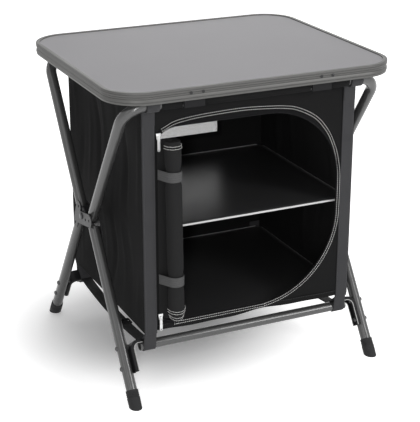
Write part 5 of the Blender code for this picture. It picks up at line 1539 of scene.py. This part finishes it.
class CUPBOARD_OT_zip(CupboardOperator):
    """Zip tape and teeth round the opening, the light double seam, sliders and pulls"""

    bl_idname = "cupboard.zip"
    bl_label = "Zip"

    TAPE, THICK = 0.008, 0.001
    TEETH_INSET, TEETH_LIFT, TOOTH_SHARE, TOOTH_WIDTH, TOOTH_HEIGHT = 0.0012, 0.0003, 0.55, 0.0020, 0.0012
    SEAM = ((-0.1880, 0.5480), (-0.1610, 0.5590), (-0.1240, 0.5640), (-0.0780, 0.5665), (-0.0240, 0.5675),
            (0.0180, 0.5655), (0.0700, 0.5605), (0.1045, 0.5520), (0.1440, 0.5300), (0.1710, 0.4990),
            (0.1880, 0.4640), (0.1975, 0.4280))
    SEAM_LOW, SEAM_GROW, SEAM_LEFT, SEAM_GAP, SEAM_STEPS = 0.395, 0.0078, -0.1600, 0.0050, 6
    SEAM_LIFT, SEAM_MARGIN, SEAM_STITCH = 0.0004, 0.0008, (0.0034, 0.0040, 0.0013)

    def build(self):
        y = -WALL_OUT - GAP - self.THICK / 2
        path = [Vector((x, y, z)) for x, z in opening_outline(self.TAPE / 2)]
        tape = flat_band("zip_tape", path, Y_AXIS, self.TAPE, self.THICK, "Zip tape")
        place(tape, "front_side", "lining", "door_zip")
        teeth = upright_line(FRONT, y - self.THICK / 2 - self.TEETH_LIFT, opening_outline(self.TEETH_INSET))
        pitch = settings().zip_pitch
        item = grow("zip_teeth", [teeth], "Black moulding", "Repeat along lines", Pitch=pitch,
                    Length=pitch * self.TOOTH_SHARE, Width=self.TOOTH_WIDTH, Height=self.TOOTH_HEIGHT,
                    Round=False)
        place(item, "front_side", "lining")
        seams = [self.seam(inset) for inset in (0.0, self.SEAM_GAP)]
        sew("door_seam_thread", seams, "Light thread", "front_side", "cloth", self.SEAM_STITCH)
        for word in ("upper", "lower"):
            dress(f"zip_slider_{word}", "Bright steel")
            dress(f"zip_pull_{word}", "Bright pull")

    def seam(self, inset):
        """Stitch line outside the zip, through the seam's measured points."""
        centre = Vector(((OPEN_LEFT + OPEN_RIGHT) / 2, 0, (OPEN_LOW + OPEN_TOP) / 2))
        lower = [(x, z) for x, z in opening_outline(self.SEAM_GROW)
                 if z < self.SEAM_LOW and x > self.SEAM_LEFT]
        lower = [(lower[0][0], self.SEAM_LOW)] + lower + [(self.SEAM_LEFT, lower[-1][1])]
        points = smooth_line([Vector((x, 0, z)) for x, z in self.SEAM + tuple(lower)], self.SEAM_STEPS)
        line = []
        for first, second in zip(points, points[1:]):
            along = (second - first).normalized()
            inward = Vector((along.z, 0, -along.x))
            if inward.dot(centre - first) < 0:
                inward = -inward
            spot = first + inward * inset
            line += upright_line(FRONT, -(WALL_OUT + self.lift(spot)), [(spot.x, spot.z)])
        return line

    def lift(self, spot):
        """Height over the cloth: the seam runs on the tape where the two meet."""
        path = [Vector((x, 0, z)) for x, z in opening_outline(self.TAPE / 2)]
        edge = min(off_segment(spot, first, second) for first, second in zip(path, path[1:]))
        return (GAP + self.THICK if edge < self.TAPE / 2 + self.SEAM_MARGIN else 0) + self.SEAM_LIFT


class CUPBOARD_PT_panel(bpy.types.Panel):
    """Lists the operators that build the cupboard"""

    bl_idname = "CUPBOARD_PT_panel"
    bl_label = "Camp cupboard"
    bl_space_type = "VIEW_3D"
    bl_region_type = "UI"
    bl_category = "Cupboard"

    def draw(self, context):
        for group in (context.scene.cupboard_colours, context.scene.cupboard_sizes):
            box = self.layout.box()
            for key in group.bl_rna.properties.keys():
                if key not in ("rna_type", "name"):
                    box.prop(group, key)
        for operator in OPERATORS:
            self.layout.operator(operator.bl_idname)


OPERATORS = (CUPBOARD_OT_stage, CUPBOARD_OT_table, CUPBOARD_OT_tubes, CUPBOARD_OT_elbows, CUPBOARD_OT_walls,
             CUPBOARD_OT_vent, CUPBOARD_OT_boards, CUPBOARD_OT_webbing, CUPBOARD_OT_door, CUPBOARD_OT_zip)
CLASSES = (CupboardColours, CupboardSizes, *OPERATORS, CUPBOARD_PT_panel)


def register():
    for item in CLASSES:
        bpy.utils.register_class(item)
    bpy.types.Scene.cupboard_colours = bpy.props.PointerProperty(type=CupboardColours)
    bpy.types.Scene.cupboard_sizes = bpy.props.PointerProperty(type=CupboardSizes)


def unregister():
    del bpy.types.Scene.cupboard_sizes
    del bpy.types.Scene.cupboard_colours
    for item in reversed(CLASSES):
        bpy.utils.unregister_class(item)


def main():
    register()
    for operator in OPERATORS:
        group, name = operator.bl_idname.split(".")
        result = getattr(getattr(bpy.ops, group), name)()
        if "FINISHED" not in result:
            raise RuntimeError(f"{operator.bl_idname} did not finish")


if __name__ == "__main__":
    main()
